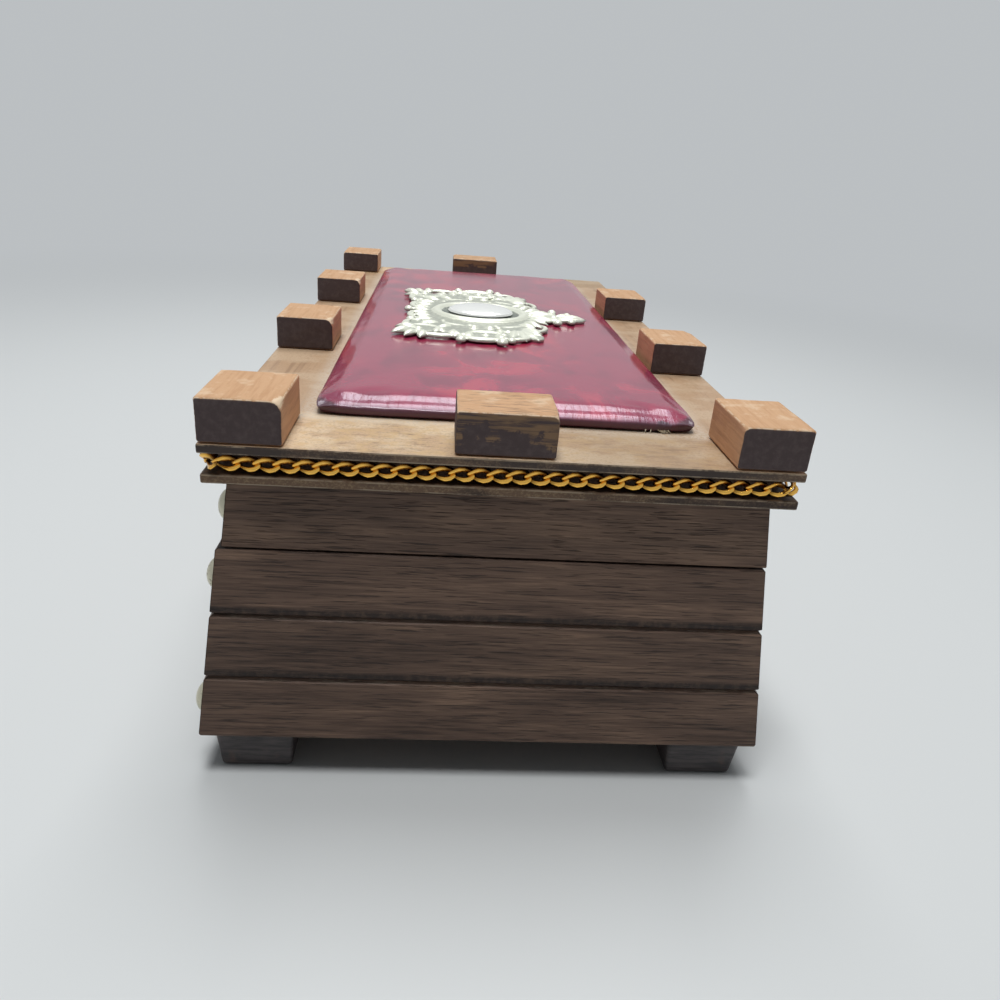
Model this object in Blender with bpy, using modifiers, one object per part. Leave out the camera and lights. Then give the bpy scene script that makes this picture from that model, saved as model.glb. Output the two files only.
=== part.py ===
"""Keepsake box shaped like a small castle, with a padded and hinged lid.

The case is a tray of battered plank walls on four block feet. The lid repeats the top plank, and
carries a lip board, a channel with a chain round it, a thin upper board, a row of square merlons,
and a leatherette pad with a cast mount. Units are metres, +Z is up, +X runs along the box, and
the front faces -Y. The origin is on the ground under the middle of the case.
"""
from math import copysign, cos, hypot, pi, radians, sin, sqrt, tan

import bmesh
import bpy
from mathutils import Matrix, Vector

# Fits
SEAT_GAP = 0.0003
RUNNING_GAP = 0.0003
OVERRUN = 0.002
MERGE_DISTANCE = 0.00001

# Walls of the case and of the lid
LID_LENGTH = 0.308
LID_DEPTH = 0.150
PLANK_HEIGHT = 0.01835
CASE_PLANKS = 3
WALL_THICKNESS = 0.007
BATTER = radians(6.7)
SEAM_GAP = 0.0004
CASE_PROUD = 0.00045
LID_SET_BACK = 0.00085
GROOVE_WIDTH = 0.0018
GROOVE_DEPTH = 0.0010
BASE_ROUND = 0.0012
ARRIS = 0.0004

# Floor, linings and feet
FLOOR_THICKNESS = 0.004
LINING_THICKNESS = 0.001
FOOT_HEIGHT = 0.0122
FOOT_WIDTH = 0.0215
FOOT_TAPER = 0.001
FOOT_SIDE_SETBACK = 0.0038
FOOT_END_SETBACK = 0.0021
FOOT_ROUND = 0.0011

# Boards of the lid and the chain between them
BOARD_THICKNESS = 0.0025
BOARD_ROUND = 0.0005
LIP_INSET = 0.00035
LIP_OVERHANG = 0.00505
CHANNEL_HEIGHT = 0.0053
CHANNEL_CORNER = 0.003
CHAIN_SETBACK = 0.0014
CHAIN_THICKNESS = 0.0019
CHAIN_HEIGHT = 0.0042
CHAIN_PITCH = 0.0047
CHAIN_STANDOFF = 0.0005
CHAIN_WAIST_SHARE = 0.72

# Merlons: blocks on the lid's edge, as shares of the way from the first to the last of a row
BLOCK_LENGTH = 0.025
BLOCK_WIDTH = 0.019
BLOCK_HEIGHT = 0.0105
BLOCK_ROUND = 0.0007
BLOCK_EDGE_INSET = 0.0002
BLOCK_END_INSET = 0.0002
END_BLOCK_INSET = 0.0006
END_BLOCK_OFFSET = 0.0013
FRONT_ROW_SHARES = (0.0, 0.3415, 0.6625, 1.0)
BACK_ROW_SHARES = (0.0, 0.3236, 0.6605)
ROW_HEIGHT_SHARES = (1.06, 1.03, 0.98, 0.93)
FRONT_ROW_WIDTH_SHARES = (1.06, 1.0, 1.0, 1.0)
BACK_ROW_WIDTH_SHARES = (0.96, 1.0, 1.0)

# Pad on the lid, with its clearances from the merlons round it
PAD_RIGHT_CLEARANCE = 0.0055
PAD_LEFT_CLEARANCE = 0.0103
PAD_FRONT_CLEARANCE = 0.0035
PAD_BACK_CLEARANCE = 0.0011
PAD_EDGE_HEIGHT = 0.0033
PAD_CROWN = 0.0019
PAD_DRAW_IN = 0.0010
PAD_CROWDING = 1.8
CARD_THICKNESS = 0.0012
CARD_SETBACK = 0.006

# Cast mount on the pad, and its oval boss
MOUNT_LENGTH = 0.104
MOUNT_DEPTH = 0.078
MOUNT_THICKNESS = 0.0018
MOUNT_SHIFT_ALONG = 0.0056
MOUNT_SHIFT_BACK = 0.0013
MOUNT_RELIEF = 0.0016
MOUNT_SEAT_SHARE = 0.7
BOSS_LENGTH = 0.024
BOSS_DEPTH = 0.027
BOSS_HEIGHT = 0.0026
BOSS_SHIFT_BACK = -0.0055
BEZEL_WIDTH = 0.0030
PIN_RADIUS = 0.0006
PIN_HEAD_RADIUS = 0.0012
PIN_HEAD_HEIGHT = 0.0007
PIN_BITE = 0.0015

# Half of the mount's outline, from the foot to the crest, as shares of its half sizes
MOUNT_HALF_OUTLINE_SHARES = (
    (0.00, -0.84), (0.20, -0.90), (0.40, -0.84), (0.58, -0.97), (0.78, -0.92), (0.84, -0.70),
    (0.80, -0.50), (0.94, -0.34), (1.00, -0.08), (0.96, 0.16), (0.84, 0.28), (0.90, 0.46),
    (0.78, 0.62), (0.60, 0.54), (0.42, 0.58), (0.26, 0.46), (0.17, 0.54), (0.24, 0.68),
    (0.11, 0.76), (0.14, 0.90), (0.00, 1.00),
)
# Raised scrolls of the half: across, along, and their half sizes, as shares of the same
MOUNT_SCROLL_SHARES = (
    (0.66, -0.76, 0.13, 0.15), (0.30, -0.74, 0.14, 0.11), (0.84, -0.14, 0.10, 0.26),
    (0.72, 0.40, 0.13, 0.15), (0.42, 0.40, 0.12, 0.12),
)
MOUNT_CREST_SHARES = ((0.0, 0.40, 0.14, 0.10), (0.0, 0.62, 0.12, 0.11), (0.0, 0.86, 0.07, 0.10))
MOUNT_PIN_SHARE = 0.62

# Domed nails on the front
STUD_RADIUS = 0.0042
STUD_HEIGHT = 0.0032
STUD_SHANK_RADIUS = 0.0007
STUD_SHANK_LENGTH = 0.0036
STUD_END_INSET = 0.0055
CASE_STUD_PLANKS = {"low": 0, "high": 2}

# Hinges on the back
HINGE_SPREAD = 0.176
LEAF_LENGTH = 0.022
LEAF_HEIGHT = 0.0120
LEAF_THICKNESS = 0.0007
LEAF_TUCK_SHARE = 0.93
KNUCKLE_RADIUS = 0.0015
HINGE_PIN_RADIUS = 0.0006
HINGE_PIN_HEAD = 0.0005
SCREW_HEAD_RADIUS = 0.0015
SCREW_HEAD_HEIGHT = 0.0008
SCREW_SHANK_RADIUS = 0.0007
SCREW_LENGTH = 0.0050
SCREW_SPREAD_SHARE = 0.56

# Levels and half sizes that follow from the values above
SLOPE = tan(BATTER)
CASE_HEIGHT = CASE_PLANKS * PLANK_HEIGHT
CASE_TOP_LEVEL = FOOT_HEIGHT + CASE_HEIGHT
SKIRT_LEVEL = CASE_TOP_LEVEL + SEAM_GAP
LIP_LEVEL = SKIRT_LEVEL + PLANK_HEIGHT + SEAT_GAP
CHANNEL_LEVEL = LIP_LEVEL + BOARD_THICKNESS
BOARD_LEVEL = CHANNEL_LEVEL + CHANNEL_HEIGHT
DECK_LEVEL = BOARD_LEVEL + BOARD_THICKNESS
LID_HALF = Vector((LID_LENGTH / 2, LID_DEPTH / 2))
LIP_HALF = LID_HALF - Vector((LIP_INSET, LIP_INSET))
SKIRT_HALF = LIP_HALF - Vector((LIP_OVERHANG, LIP_OVERHANG))
RIM_STEP = SLOPE * (PLANK_HEIGHT + SEAM_GAP) + CASE_PROUD
CASE_HALF = SKIRT_HALF + Vector((RIM_STEP, RIM_STEP))
PAD_LENGTH = (2 * (LID_HALF.x - END_BLOCK_INSET - BLOCK_WIDTH)
              - PAD_RIGHT_CLEARANCE - PAD_LEFT_CLEARANCE)
PAD_DEPTH = (2 * (LID_HALF.y - BLOCK_EDGE_INSET - BLOCK_WIDTH)
             - PAD_FRONT_CLEARANCE - PAD_BACK_CLEARANCE)
PAD_CENTRE = Vector((
    (PAD_LEFT_CLEARANCE - PAD_RIGHT_CLEARANCE) / 2,
    LID_SET_BACK + (PAD_FRONT_CLEARANCE - PAD_BACK_CLEARANCE) / 2,
))
PAD_LEVEL = DECK_LEVEL + SEAT_GAP
PAD_TOP_LEVEL = PAD_LEVEL + PAD_EDGE_HEIGHT + PAD_CROWN
MOUNT_CENTRE = PAD_CENTRE + Vector((MOUNT_SHIFT_ALONG, MOUNT_SHIFT_BACK))
BOSS_CENTRE = MOUNT_CENTRE + Vector((0, BOSS_SHIFT_BACK))
MOUNT_LEVEL = PAD_TOP_LEVEL + SEAT_GAP
LEAF_TUCK = KNUCKLE_RADIUS * LEAF_TUCK_SHARE
HINGE_LEVEL = CASE_TOP_LEVEL + SEAM_GAP / 2
HINGE_STANDOFF = LEAF_TUCK + SEAT_GAP
HINGE_AXIS = Vector((
    0,
    LID_SET_BACK + SKIRT_HALF.y + SLOPE * PLANK_HEIGHT + HINGE_STANDOFF * cos(BATTER),
    HINGE_LEVEL + HINGE_STANDOFF * sin(BATTER),
))
LID_STEP = (LID_SET_BACK - CASE_PROUD) * cos(BATTER)

# The low studs stand out further than the foot of the back wall, and the origin is midway between
LOW_STUD_DROP = CASE_HEIGHT - (CASE_STUD_PLANKS["low"] + 0.5) * PLANK_HEIGHT
STUD_REACH = SLOPE * LOW_STUD_DROP + SEAT_GAP * cos(BATTER) + hypot(
    STUD_HEIGHT * cos(BATTER), STUD_RADIUS * sin(BATTER))
BACK_REACH = SLOPE * (CASE_HEIGHT - BASE_ROUND)
CENTRING = (STUD_REACH - BACK_REACH) / 2

# Each side's turn about Z from the front
SIDES = {"front": 0.0, "right": pi / 2, "back": pi, "left": -pi / 2}


# Scene, collections, frames and finishes

for old in list(bpy.data.objects):
    bpy.data.objects.remove(old, do_unlink=True)

PARTS = bpy.data.collections.new("castle_keepsake_box")
CUTTERS = bpy.data.collections.new("cutters")
for group in (PARTS, CUTTERS):
    bpy.context.scene.collection.children.link(group)


def frame(name, where, parent=None):
    """Returns an empty that pieces are placed from."""
    empty = bpy.data.objects.new(name, None)
    PARTS.objects.link(empty)
    empty.parent = parent
    empty.location = where
    return empty


CASE = frame("case_frame", (0, CENTRING, 0))
LID = frame("lid_hinge_axis", HINGE_AXIS, CASE)


def finish(name, colour, roughness, metallic=0.0):
    """Returns a Principled material."""
    material = bpy.data.materials.new(name)
    material.use_nodes = True
    shader = material.node_tree.nodes["Principled BSDF"]
    shader.inputs["Base Color"].default_value = (*colour, 1.0)
    shader.inputs["Roughness"].default_value = roughness
    shader.inputs["Metallic"].default_value = metallic
    material.diffuse_color = (*colour, 1.0)
    return material


WALNUT = finish("walnut_stain", (0.060, 0.037, 0.027), 0.45)
WORN_WOOD = finish("worn_board", (0.260, 0.170, 0.110), 0.50)
BLOCK_PAINT = finish("black_paint_on_block", (0.030, 0.022, 0.020), 0.55)
LEATHERETTE = finish("maroon_leatherette", (0.230, 0.012, 0.045), 0.22)
CARD = finish("grey_card", (0.300, 0.290, 0.270), 0.85)
FELT = finish("red_felt", (0.300, 0.020, 0.030), 0.95)
CAST_METAL = finish("pale_cast_metal", (0.640, 0.600, 0.440), 0.30, 1.0)
POLISHED_METAL = finish("polished_boss", (0.860, 0.850, 0.780), 0.12, 1.0)
CHAIN_GOLD = finish("gold_plate", (0.900, 0.560, 0.150), 0.22, 1.0)
BRASS = finish("brass", (0.690, 0.560, 0.310), 0.30, 1.0)
STEEL = finish("steel", (0.500, 0.500, 0.500), 0.35, 1.0)


# Making and placing pieces

def place(piece, where, turn=(0, 0, 0), parent=CASE):
    """Sets a piece at a place in the box's own frame, below the empty that carries it."""
    piece.parent = parent
    piece.location = Vector(where) - (parent.location if parent is LID else Vector())
    piece.rotation_euler = turn
    return piece


def make_piece(name, mesh, material, where, turn=(0, 0, 0), parent=CASE):
    """Adds a mesh as a named part of the box."""
    piece = bpy.data.objects.new(name, mesh)
    PARTS.objects.link(piece)
    mesh.materials.clear()
    mesh.materials.append(material)
    return place(piece, where, turn, parent)


def make_guide(name, mesh, where, turn=(0, 0, 0), parent=CASE):
    """Adds a mesh that only cuts, or is joined to, a part."""
    guide = bpy.data.objects.new(name, mesh)
    CUTTERS.objects.link(guide)
    guide.hide_render = True
    guide.display_type = "WIRE"
    return place(guide, where, turn, parent)


def combine(piece, guide, operation):
    """Cuts a guide from a piece, or joins it to the piece."""
    boolean = piece.modifiers.new(guide.name, "BOOLEAN")
    boolean.operation = operation
    boolean.object = guide
    boolean.solver = "EXACT"


def ease_edges(piece, width, segments=2, angle=radians(35)):
    """Rounds a piece's sharp edges."""
    bevel = piece.modifiers.new("eased_edges", "BEVEL")
    bevel.width = width
    bevel.segments = segments
    bevel.limit_method = "ANGLE"
    bevel.angle_limit = angle


def shade_round(mesh, angle=radians(40)):
    """Shades a round piece smooth, with its real edges kept sharp."""
    mesh.shade_smooth()
    mesh.set_sharp_from_angle(angle=angle)


def mesh_of(bm, name):
    """Turns a bmesh into a mesh and frees it."""
    mesh = bpy.data.meshes.new(name)
    bm.to_mesh(mesh)
    bm.free()
    return mesh


def slab(name, length, depth, height, flare=0.0):
    """Returns a slab standing on z = 0, whose foot is wider than its top by flare on each side."""
    bm = bmesh.new()
    bmesh.ops.create_cube(bm, size=1)
    for vert in bm.verts:
        spread = flare if vert.co.z < 0 else 0.0
        vert.co.x = copysign(length / 2 + spread, vert.co.x)
        vert.co.y = copysign(depth / 2 + spread, vert.co.y)
        vert.co.z = height if vert.co.z > 0 else 0.0
    return mesh_of(bm, name)


def rod(name, radius, length, along=Vector((0, 0, 1)), sides=16):
    """Returns a cylinder centred on the origin."""
    bm = bmesh.new()
    bmesh.ops.create_cone(bm, cap_ends=True, segments=sides, radius1=radius, radius2=radius, depth=length)
    bm.transform(along.to_track_quat("Z", "Y").to_matrix().to_4x4())
    return mesh_of(bm, name)


def flat_outline(name, points, half_thickness, smooth=False):
    """Returns the mesh of an outline filled on both sides and extruded, with its caps welded."""
    curve = bpy.data.curves.new(name, "CURVE")
    curve.dimensions = "2D"
    curve.fill_mode = "BOTH"
    curve.extrude = half_thickness
    if smooth:
        curve.resolution_u = 3
        spline = curve.splines.new("BEZIER")
        spline.bezier_points.add(len(points) - 1)
        for knot, point in zip(spline.bezier_points, points):
            knot.co = (*point, 0)
            knot.handle_left_type = "AUTO"
            knot.handle_right_type = "AUTO"
    else:
        spline = curve.splines.new("POLY")
        spline.points.add(len(points) - 1)
        for knot, point in zip(spline.points, points):
            knot.co = (*point, 0, 1)
    spline.use_cyclic_u = True
    holder = bpy.data.objects.new(name, curve)
    CUTTERS.objects.link(holder)
    bpy.context.view_layer.update()
    mesh = bpy.data.meshes.new_from_object(holder.evaluated_get(bpy.context.evaluated_depsgraph_get()))
    bpy.data.objects.remove(holder, do_unlink=True)
    bm = bmesh.new()
    bm.from_mesh(mesh)
    bmesh.ops.remove_doubles(bm, verts=bm.verts, dist=MERGE_DISTANCE)
    bm.to_mesh(mesh)
    bm.free()
    return mesh


def turned(name, profile, material, where, turn=(0, 0, 0), parent=CASE, steps=16):
    """Adds a piece turned about Z from a profile of (radius, height) that runs down its outside."""
    mesh = bpy.data.meshes.new(name)
    points = [(radius, 0, height) for radius, height in profile]
    mesh.from_pydata(points, [(i, i + 1) for i in range(len(points) - 1)], [])
    piece = make_piece(name, mesh, material, where, turn, parent)
    screw = piece.modifiers.new("turning", "SCREW")
    screw.axis = "Z"
    screw.steps = steps
    screw.render_steps = steps
    screw.use_merge_vertices = True
    screw.merge_threshold = MERGE_DISTANCE
    screw.use_smooth_shade = True
    return piece


def nail_profile(head_radius, head_height, shank_radius, shank_length, rings=4):
    """Returns a domed head over a shank, with the underside of the head at zero."""
    dome = [(head_radius * sin(pi / 2 * i / rings), head_height * cos(pi / 2 * i / rings))
            for i in range(rings + 1)]
    return dome + [(shank_radius, 0), (shank_radius, -shank_length), (0, -shank_length)]


# Plank walls

def wall_profile(planks, base_round):
    """Returns a battered wall's section as (outward, up), from its foot, measured from its top edge."""
    height = planks * PLANK_HEIGHT

    def face(level):
        return SLOPE * (height - level)

    section = [(face(0) - WALL_THICKNESS, 0)]
    turns = 5
    for i in range(turns + 1):
        angle = pi / 2 * (i / turns - 1)
        section.append((face(base_round) + base_round * (cos(angle) - 1), base_round * (1 + sin(angle))))
    for joint in range(1, planks):
        level = joint * PLANK_HEIGHT
        section.append((face(level - GROOVE_WIDTH / 2), level - GROOVE_WIDTH / 2))
        section.append((face(level) - GROOVE_DEPTH, level))
        section.append((face(level + GROOVE_WIDTH / 2), level + GROOVE_WIDTH / 2))
    section.append((face(height - ARRIS), height - ARRIS))
    section.append((-ARRIS, height))
    section.append((-WALL_THICKNESS, height))
    return section


def mitred_wall(name, section, half_run):
    """Returns a wall moulded to a section, with both ends mitred to meet its neighbours."""
    mesh = flat_outline(name, section, half_run)
    for vert in mesh.vertices:
        outward, up, along = vert.co
        end = half_run + outward - SEAT_GAP / sqrt(2)
        vert.co = (-copysign(end, along), -outward, up)
    return mesh


def add_walls(prefix, planks, base_round, half, level, shift, parent):
    """Adds the four walls round the case or the lid, and returns them by side."""
    section = wall_profile(planks, base_round)
    walls = {}
    for side, turn in SIDES.items():
        run, reach = (half.x, half.y) if side in ("front", "back") else (half.y, half.x)
        outward = Matrix.Rotation(turn, 3, "Z") @ Vector((0, -reach, 0))
        name = f"{prefix}_{side}"
        mesh = mitred_wall(name, section, run)
        where = outward + Vector((0, shift, level))
        walls[side] = make_piece(name, mesh, WALNUT, where, (0, 0, turn), parent)
    return walls


CASE_WALLS = add_walls("case_wall", CASE_PLANKS, BASE_ROUND, CASE_HALF, FOOT_HEIGHT, 0, CASE)
SKIRT_WALLS = add_walls("lid_skirt", 1, ARRIS, SKIRT_HALF, SKIRT_LEVEL, LID_SET_BACK, LID)


# Floor, linings and feet of the case, and the lid's ceiling lining

def add_infill(name, thickness, level, half, top_level, material, shift, parent):
    """Adds a thin panel that fills the space between the walls at a level below their top."""
    drop = top_level - level - thickness
    reach = SLOPE * drop - WALL_THICKNESS - SEAT_GAP
    mesh = slab(name, 2 * (half.x + reach), 2 * (half.y + reach), thickness, SLOPE * thickness)
    return make_piece(name, mesh, material, (0, shift, level), parent=parent)


add_infill("case_floor", FLOOR_THICKNESS, FOOT_HEIGHT, CASE_HALF, CASE_TOP_LEVEL, WALNUT, 0, CASE)
LINING_LEVEL = FOOT_HEIGHT + FLOOR_THICKNESS + SEAT_GAP
add_infill("case_lining", LINING_THICKNESS, LINING_LEVEL, CASE_HALF, CASE_TOP_LEVEL, FELT, 0, CASE)
CEILING_LEVEL = SKIRT_LEVEL + PLANK_HEIGHT - LINING_THICKNESS
add_infill("lid_lining", LINING_THICKNESS, CEILING_LEVEL, SKIRT_HALF, LIP_LEVEL - SEAT_GAP, FELT,
           LID_SET_BACK, LID)


def add_foot(name, side_x, side_y):
    """Adds a block foot under a corner of the case, narrower on the ground than at its top."""
    height = FOOT_HEIGHT - SEAT_GAP
    mesh = slab(name, FOOT_WIDTH - 2 * FOOT_TAPER, FOOT_WIDTH - 2 * FOOT_TAPER, height)
    for vert in mesh.vertices:
        if vert.co.z > 0:
            vert.co.x += copysign(FOOT_TAPER, vert.co.x)
            vert.co.y += copysign(FOOT_TAPER, vert.co.y)
    outward = SLOPE * CASE_HEIGHT - FOOT_WIDTH / 2
    where = (side_x * (CASE_HALF.x + outward - FOOT_END_SETBACK),
             side_y * (CASE_HALF.y + outward - FOOT_SIDE_SETBACK), 0)
    ease_edges(make_piece(name, mesh, WALNUT, where), FOOT_ROUND, 3)


for end_name, end_sign in (("right", 1), ("left", -1)):
    for face_name, face_sign in (("front", -1), ("back", 1)):
        add_foot(f"foot_{face_name}_{end_name}", end_sign, face_sign)


# Boards of the lid

def add_board(name, half, thickness, level, material):
    """Adds a thin board with eased edges to the lid."""
    board = make_piece(name, slab(name, 2 * half.x, 2 * half.y, thickness), material,
                       (0, LID_SET_BACK, level), parent=LID)
    ease_edges(board, BOARD_ROUND)
    return board


add_board("lip_board", LIP_HALF, BOARD_THICKNESS, LIP_LEVEL, WALNUT)
UPPER_BOARD = add_board("upper_board", LID_HALF, BOARD_THICKNESS, BOARD_LEVEL, WORN_WOOD)

CORE_INSET = CHAIN_SETBACK + CHAIN_THICKNESS + CHAIN_STANDOFF
CORE_HALF = LID_HALF - Vector((CORE_INSET, CORE_INSET))


def rounded_rectangle(half, radius, distance):
    """Returns the point at a distance along a rectangle with round corners, from its right side."""
    runs = [(half.y - radius, 0), (half.x - radius, 1), (half.y - radius, 2), (half.x - radius, 3)]
    corner = pi / 2 * radius
    total = 2 * sum(run for run, _ in runs) + 4 * corner
    distance %= total
    for run, quarter in runs:
        reach = half.x if quarter % 2 == 0 else half.y
        turn = Matrix.Rotation(quarter * pi / 2, 2)
        if distance <= 2 * run:
            return turn @ Vector((reach, distance - run))
        distance -= 2 * run
        if distance <= corner:
            angle = distance / radius
            return turn @ (Vector((reach - radius, run)) + radius * Vector((cos(angle), sin(angle))))
        distance -= corner
    return turn @ Vector((reach, run))


def loop_length(half, radius):
    """Returns the distance round a rectangle with round corners."""
    return 4 * (half.x + half.y - 2 * radius) + 2 * pi * radius


def add_channel_core():
    """Adds the spacer board that leaves the chain's channel round the lid's edge."""
    height = CHANNEL_HEIGHT - 2 * SEAT_GAP
    steps = 6
    outline = []
    for corner in range(4):
        sign_x, sign_y = ((1, 1), (-1, 1), (-1, -1), (1, -1))[corner]
        centre = Vector((sign_x * (CORE_HALF.x - CHANNEL_CORNER), sign_y * (CORE_HALF.y - CHANNEL_CORNER)))
        for i in range(steps + 1):
            angle = pi / 2 * (corner + i / steps)
            outline.append(centre + CHANNEL_CORNER * Vector((cos(angle), sin(angle))))
    mesh = flat_outline("channel_core", outline, height / 2)
    where = (0, LID_SET_BACK, CHANNEL_LEVEL + CHANNEL_HEIGHT / 2)
    make_piece("channel_core", mesh, WALNUT, where, parent=LID)


def add_chain():
    """Adds the curb chain as one closed tube, thick at each link and thin between links."""
    standoff = CHAIN_STANDOFF + CHAIN_THICKNESS / 2
    half = CORE_HALF + Vector((standoff, standoff))
    radius = CHANNEL_CORNER + standoff
    length = loop_length(half, radius)
    points = 2 * round(length / CHAIN_PITCH)
    curve = bpy.data.curves.new("chain", "CURVE")
    curve.dimensions = "3D"
    curve.twist_mode = "Z_UP"
    curve.bevel_depth = CHAIN_THICKNESS / 2
    curve.bevel_resolution = 0
    curve.use_fill_caps = True
    spline = curve.splines.new("POLY")
    spline.points.add(points - 1)
    for i, knot in enumerate(spline.points):
        knot.co = (*rounded_rectangle(half, radius, length * i / points), 0, 1)
        knot.radius = CHAIN_WAIST_SHARE if i % 2 else 1
    spline.use_cyclic_u = True
    chain = bpy.data.objects.new("chain", curve)
    PARTS.objects.link(chain)
    curve.materials.append(CHAIN_GOLD)
    chain.scale = (1, 1, CHAIN_HEIGHT / CHAIN_THICKNESS)
    place(chain, (0, LID_SET_BACK, CHANNEL_LEVEL + CHANNEL_HEIGHT / 2), parent=LID)


add_channel_core()
add_chain()


# Merlons

def add_block(name, centre, height_share, width=BLOCK_WIDTH, turn=0.0):
    """Adds one square block on the lid's deck."""
    mesh = slab(name, BLOCK_LENGTH, width, BLOCK_HEIGHT * height_share)
    where = (centre[0], centre[1] + LID_SET_BACK, DECK_LEVEL + SEAT_GAP)
    ease_edges(make_piece(name, mesh, BLOCK_PAINT, where, (0, 0, turn), LID), BLOCK_ROUND)


FIRST_BLOCK = LID_HALF.x - BLOCK_END_INSET - BLOCK_LENGTH / 2
for row_name, row_sign, shares, width_shares in (
        ("front", -1, FRONT_ROW_SHARES, FRONT_ROW_WIDTH_SHARES),
        ("back", 1, BACK_ROW_SHARES, BACK_ROW_WIDTH_SHARES)):
    for number, share in enumerate(shares):
        width = BLOCK_WIDTH * width_shares[number]
        row_x = FIRST_BLOCK * (1 - 2 * share)
        row_y = row_sign * (LID_HALF.y - BLOCK_EDGE_INSET - width / 2)
        add_block(f"block_{row_name}_{number + 1}", (row_x, row_y), ROW_HEIGHT_SHARES[number], width)
for end_name, end_sign, height_share in (
        ("right", 1, ROW_HEIGHT_SHARES[0]), ("left", -1, ROW_HEIGHT_SHARES[-1])):
    end_x = end_sign * (LID_HALF.x - END_BLOCK_INSET - BLOCK_WIDTH / 2)
    add_block(f"block_end_{end_name}", (end_x, -END_BLOCK_OFFSET), height_share, turn=pi / 2)


# Pad

def pad_cage(cells_along, cells_across):
    """Returns the pad's cage: crowned on top, with its sides drawn in between the corners."""
    bm = bmesh.new()
    bmesh.ops.create_cube(bm, size=2)
    for axis, cuts in ((0, cells_along - 1), (1, cells_across - 1), (2, 1)):
        edges = [edge for edge in bm.edges
                 if abs(edge.verts[0].co[axis] - edge.verts[1].co[axis]) > 1]
        bmesh.ops.subdivide_edges(bm, edges=edges, cuts=cuts, use_grid_fill=True)
    for vert in bm.verts:
        up = vert.co.z
        along, across = (copysign(1 - (1 - abs(part)) ** PAD_CROWDING, part) for part in vert.co.xy)
        draw = PAD_DRAW_IN * (1 - abs(along * across) ** 4)
        pull = draw if up > -1 else PAD_DRAW_IN
        reach = 1.0 if abs(up) < 1 else 1 - PAD_DRAW_IN / PAD_DEPTH
        crown = PAD_CROWN * (1 - along ** 4) * (1 - across ** 4)
        vert.co.x = along * (PAD_LENGTH / 2 * reach - pull * abs(along) ** 8)
        vert.co.y = across * (PAD_DEPTH / 2 * reach - pull * abs(across) ** 8)
        vert.co.z = (PAD_EDGE_HEIGHT + crown) if up > 0.5 else PAD_EDGE_HEIGHT * (up + 1) / 2
    return mesh_of(bm, "pad_cover")


def add_pad():
    """Adds the leatherette pad and the card inside its underside."""
    mesh = pad_cage(14, 8)
    shade_round(mesh, radians(60))
    pad = make_piece("pad_cover", mesh, LEATHERETTE, (*PAD_CENTRE, PAD_LEVEL), parent=LID)
    soft = pad.modifiers.new("soft", "SUBSURF")
    soft.levels = 1
    soft.render_levels = 1
    length = PAD_LENGTH - 2 * CARD_SETBACK
    depth = PAD_DEPTH - 2 * CARD_SETBACK
    pocket = slab("pad_pocket", length + 2 * SEAT_GAP, depth + 2 * SEAT_GAP,
                  CARD_THICKNESS + SEAT_GAP + OVERRUN)
    where = (*PAD_CENTRE, PAD_LEVEL - OVERRUN)
    combine(pad, make_guide("pad_pocket", pocket, where, parent=LID), "DIFFERENCE")
    card_mesh = slab("pad_card", length, depth, CARD_THICKNESS)
    card = make_piece("pad_card", card_mesh, CARD, (*PAD_CENTRE, PAD_LEVEL), parent=LID)
    return pad, card


PAD, PAD_BACKING = add_pad()


# Cast mount, its boss and its pins

def mount_point(across_share, along_share):
    """Returns a point of the mount from shares of its half sizes; the crest points to the back."""
    return Vector((across_share * MOUNT_LENGTH / 2, along_share * MOUNT_DEPTH / 2))


def add_relief(plate):
    """Joins the raised scrolls and the bezel round the boss to the mount's plate."""
    seat = MOUNT_THICKNESS * MOUNT_SEAT_SHARE
    rise = MOUNT_THICKNESS + MOUNT_RELIEF - seat
    bm = bmesh.new()
    scrolls = list(MOUNT_CREST_SHARES)
    for across, along, half_across, half_along in MOUNT_SCROLL_SHARES:
        scrolls += [(across, along, half_across, half_along), (-across, along, half_across, half_along)]
    for across, along, half_across, half_along in scrolls:
        size = mount_point(half_across, half_along)
        shape = Matrix.Translation((*mount_point(across, along), seat)) @ Matrix.Diagonal((*size, rise, 1))
        bmesh.ops.create_uvsphere(bm, u_segments=12, v_segments=6, radius=1, matrix=shape)
    for vert in bm.verts:
        vert.co.z = max(vert.co.z, seat + (vert.co.z - seat) * seat / rise / 2)
    where = (*MOUNT_CENTRE, MOUNT_LEVEL)
    combine(plate, make_guide("mount_scrolls", mesh_of(bm, "mount_scrolls"), where, parent=LID), "UNION")
    bezel_half = (Vector((BOSS_LENGTH, BOSS_DEPTH)) + Vector((BEZEL_WIDTH, BEZEL_WIDTH))) / 2
    bpy.ops.mesh.primitive_torus_add(major_radius=bezel_half.x, minor_radius=BEZEL_WIDTH / 2,
                                     major_segments=28, minor_segments=8)
    torus = bpy.context.object
    mesh = torus.data
    bpy.data.objects.remove(torus, do_unlink=True)
    for vert in mesh.vertices:
        vert.co.y *= bezel_half.y / bezel_half.x
        height = vert.co.z * 2 / BEZEL_WIDTH
        vert.co.z = seat + height * (rise if height > 0 else seat / 2)
    where = (*BOSS_CENTRE, MOUNT_LEVEL)
    combine(plate, make_guide("mount_bezel", mesh, where, parent=LID), "UNION")


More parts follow.
